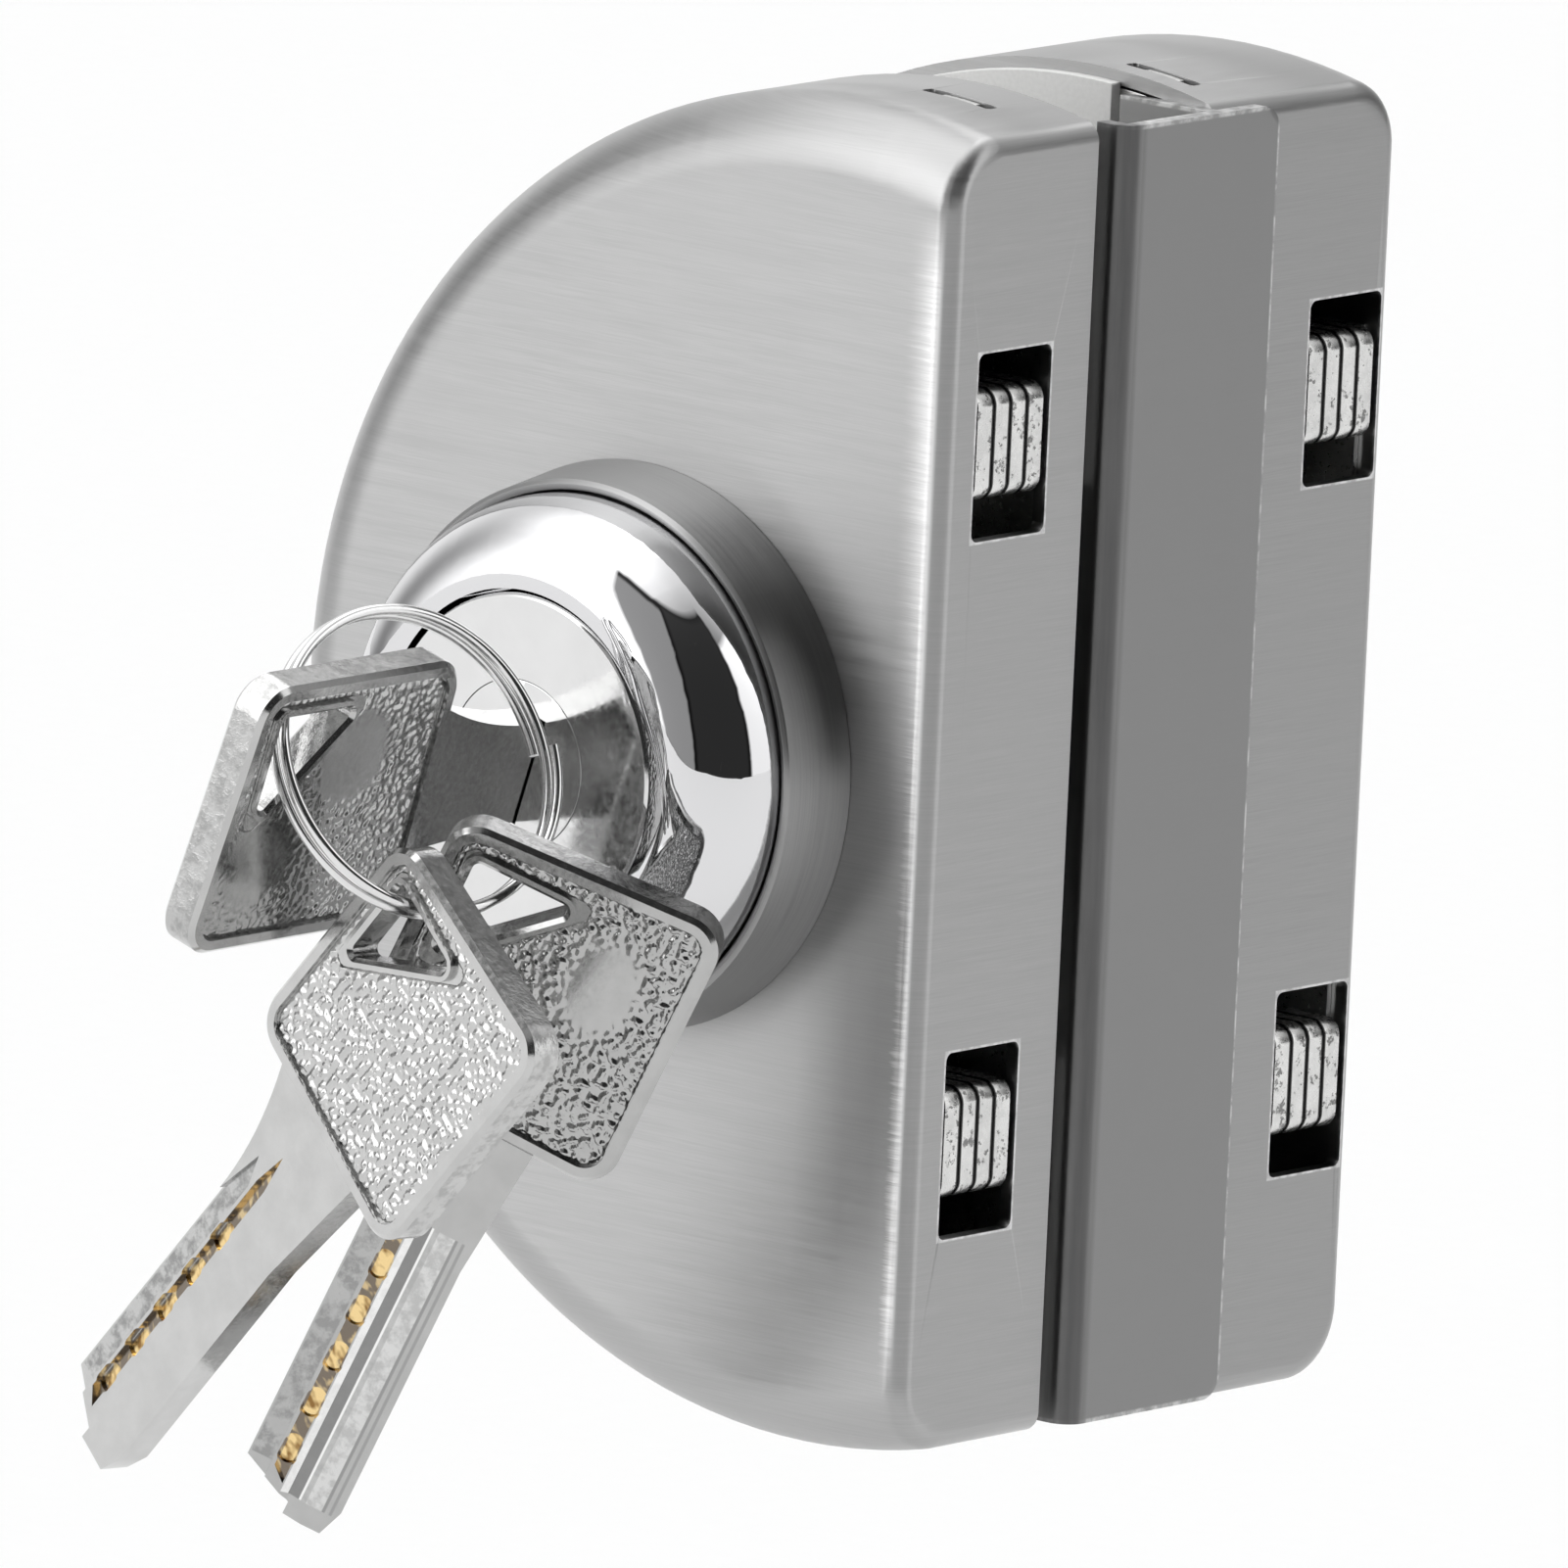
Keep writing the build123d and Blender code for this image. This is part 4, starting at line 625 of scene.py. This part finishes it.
# The look of each CAD node.
LOOKS = {
    "front_cover": COVER, "rear_cover": SHADED_REAR_COVER, "front_base_plate": ZINC, "rear_base_plate": ZINC,
    "front_gasket": SEAL, "rear_gasket": SEAL, "cover_screws": SCREW,
    "front_bolt_plates": FRONT_BOLT, "front_drive_plate": ZINC, "front_bolt_rivets": SCREW,
    "rear_bolt_plates": REAR_BOLT, "rear_drive_plate": ZINC, "rear_bolt_rivets": SCREW,
    "front_drive_spacers": SCREW, "front_guide_pads": ZINC, "front_guide_posts": SCREW,
    "rear_guide_pads": ZINC, "rear_guide_posts": SCREW, "front_cam": DARK, "rear_cam": DARK,
    "spindle": DARK, "thumbturn_rose": ROSE, "thumbturn": COVER, "thumbturn_clip": DARK,
    "clamp_posts": SCREW, "clamp_screws": SCREW, "edge_strip": STRIP, "edge_strip_screws": SCREW,
    "rose_ring": ROSE, "chrome_dome": CHROME, "cylinder_body": HEAD, "cylinder_plug": HEAD,
    "key_pins": BRASS, "driver_pins": BRASS, "cylinder_nut": BRASS, "split_ring": WIRE, **KEY_LOOKS}

# Widths of the bevels on the CAD nodes' sharp edges, in millimetres.
USUAL_BEVEL = 0.08
BEVEL = {"front_cover": 0.12, "rear_cover": 0.12, "edge_strip": 0.12, "rose_ring": 0.12,
         "front_bolt_plates": 0.22, "rear_bolt_plates": 0.22, "front_gasket": 0.15, "rear_gasket": 0.15,
         "chrome_dome": 0.0, "split_ring": 0.0, "key_inserted": 0.0, "hanging_key_front": 0.0,
         "hanging_key_rear": 0.0}
# The modifiers' other settings: angles between faces, a distance in metres and a share in percent.
BEVEL_ANGLE, SPLIT_ANGLE = math.radians(38), math.radians(33)
WELD_DISTANCE = 2e-6
FACE_WEIGHT = 80

for name, obj in NODES.items():
    obj.data.materials.clear()
    obj.data.materials.append(LOOKS[name])
    weld = obj.modifiers.new("weld", "WELD")
    weld.merge_threshold = WELD_DISTANCE
    width = BEVEL.get(name, USUAL_BEVEL)
    if width:
        bevel = obj.modifiers.new("bevel", "BEVEL")
        bevel.width = width * MM
        bevel.segments = 2
        bevel.limit_method = "ANGLE"
        bevel.angle_limit = BEVEL_ANGLE
    split = obj.modifiers.new("split", "EDGE_SPLIT")
    split.split_angle = SPLIT_ANGLE
    split.use_edge_sharp = False
    flat = obj.modifiers.new("flat", "WEIGHTED_NORMAL")
    flat.mode = "FACE_AREA"
    flat.weight = FACE_WEIGHT
    flat.keep_sharp = True
    for poly in obj.data.polygons:
        poly.use_smooth = True

for name in KEYS:
    for side in (1, -1):
        pebbled_field(name, side, KEY_LOOKS[name])


# Floor, light and camera
# Half the floor's width and its height, in metres.
FLOOR_HALF, FLOOR_Z = 3.0, -0.16
corners = [(x * FLOOR_HALF, y * FLOOR_HALF, 0) for x, y in ((-1, -1), (1, -1), (1, 1), (-1, 1))]
floor_mesh = bpy.data.meshes.new("floor")
floor_mesh.from_pydata(corners, [], [(0, 1, 2, 3)])
floor = bpy.data.objects.new("floor", floor_mesh)
bpy.context.scene.collection.objects.link(floor)
floor.location = (0, 0, FLOOR_Z)
paper = Shader("floor_paper", (0.96, 0.96, 0.96), 0.0, 0.8)
grain = paper.noise(paper.position(), scale=400, detail=2)
paper.wire(Base_Color=paper.blend(grain, (0.95, 0.95, 0.95), (0.97, 0.97, 0.97)))
floor_mesh.materials.append(paper.mat)

# Soft lobes of light: direction and strength.
LOBE_SHARPNESS = 9.0
LOBES = [((-0.5, -0.86, 0.06), 1.6), ((-0.35, -0.6, 0.72), 1.4), ((-0.32, 0.0, 0.95), 1.8),
         ((0.35, 0.6, 0.72), 0.7), ((-0.36, -0.86, 0.37), 1.0), ((-0.5, 0.86, 0.06), 0.7),
         ((-0.94, 0.34, 0.06), 0.6), ((0.16, -0.27, 0.95), 0.5), ((-0.35, 0.6, 0.72), 0.4),
         ((-0.86, 0.36, 0.37), 0.3)]
# Softboxes: azimuth from and to, elevation from and to, soft edge (all in degrees) and strength.
CARDS = [(90, 130, 40, 75, 3.0, 1.5), (-104, -62, -4, 56, 1.5, 0.33), (-58, 12, -6, 60, 2.5, 0.03),
         (15, 42, -4, 46, 1.5, 1.1)]
# The dark side of the room, where the lobes hardly shine: its limits, as above, and what it takes away.
DARK_SIDE = (-104, 14, -6, 62, 2.0)
DARK_SHARE = 0.97


def environment():
    """The studio round the object: soft lobes, softboxes and one dark side."""
    world = bpy.data.worlds.new("studio")
    bpy.context.scene.world = world
    world.use_nodes = True
    n = Nodes(world.node_tree)
    background = n.tree.nodes["Background"]
    toward = n.node("ShaderNodeTexCoord").outputs["Generated"]
    part = n.node("ShaderNodeSeparateXYZ")
    n.link(toward, part.inputs[0])
    x, y, z = part.outputs
    azimuth = n.product(n.math("ARCTAN2", y, x), math.degrees(1))
    elevation = n.product(n.math("ARCSINE", z), math.degrees(1))

    def card(az0, az1, el0, el1, edge):
        return n.product(n.within(azimuth, az0, az1, edge), n.within(elevation, el0, el1, edge))

    glow = []
    for direction, strength in LOBES:
        fall = n.product(n.math("SUBTRACT", n.along(toward, direction), 1.0), LOBE_SHARPNESS)
        glow.append(n.product(n.math("EXPONENT", fall), strength))
    lit_side = n.math("SUBTRACT", 1.0, n.product(card(*DARK_SIDE), DARK_SHARE))
    parts = [n.product(n.total(glow), lit_side)]
    parts += [n.product(card(*place), strength) for *place, strength in CARDS]
    background.inputs[0].default_value = (1, 1, 1, 1)
    n.link(n.total(parts), background.inputs[1])


environment()
bpy.context.scene.view_settings.view_transform = "Standard"
bpy.context.scene.view_settings.look = "None"

# The photograph's camera, fitted to the outlines: angles in degrees, lengths in millimetres,
# focal length in the photograph's pixels.
AZIMUTH, ELEVATION, ROLL = math.radians(40.14), math.radians(10.79), math.radians(2.65)
DISTANCE, TARGET, SHIFT_RIGHT, SHIFT_UP = 2866.6, Vector((0, 4.17, 0)), -19.61, -3.71
FOCAL_PIXELS, PHOTO_PIXELS, SENSOR = 36979.3, 1601, 36
back = Vector((math.sin(AZIMUTH) * math.cos(ELEVATION), -math.cos(AZIMUTH) * math.cos(ELEVATION),
               math.sin(ELEVATION)))
level = Vector((math.cos(AZIMUTH), math.sin(AZIMUTH), 0))
upright = back.cross(level)
right = math.cos(ROLL) * level + math.sin(ROLL) * upright
up = -math.sin(ROLL) * level + math.cos(ROLL) * upright
cam = bpy.data.cameras.new("camera")
cam.sensor_width = SENSOR
cam.lens = FOCAL_PIXELS / PHOTO_PIXELS * SENSOR
cam.clip_start, cam.clip_end = 0.05, 50
camera = bpy.data.objects.new("camera", cam)
bpy.context.scene.collection.objects.link(camera)
camera.matrix_world = Matrix((right, up, back)).transposed().to_4x4()
camera.matrix_world.translation = (back * DISTANCE + TARGET + right * SHIFT_RIGHT + up * SHIFT_UP) * MM
bpy.context.scene.camera = camera
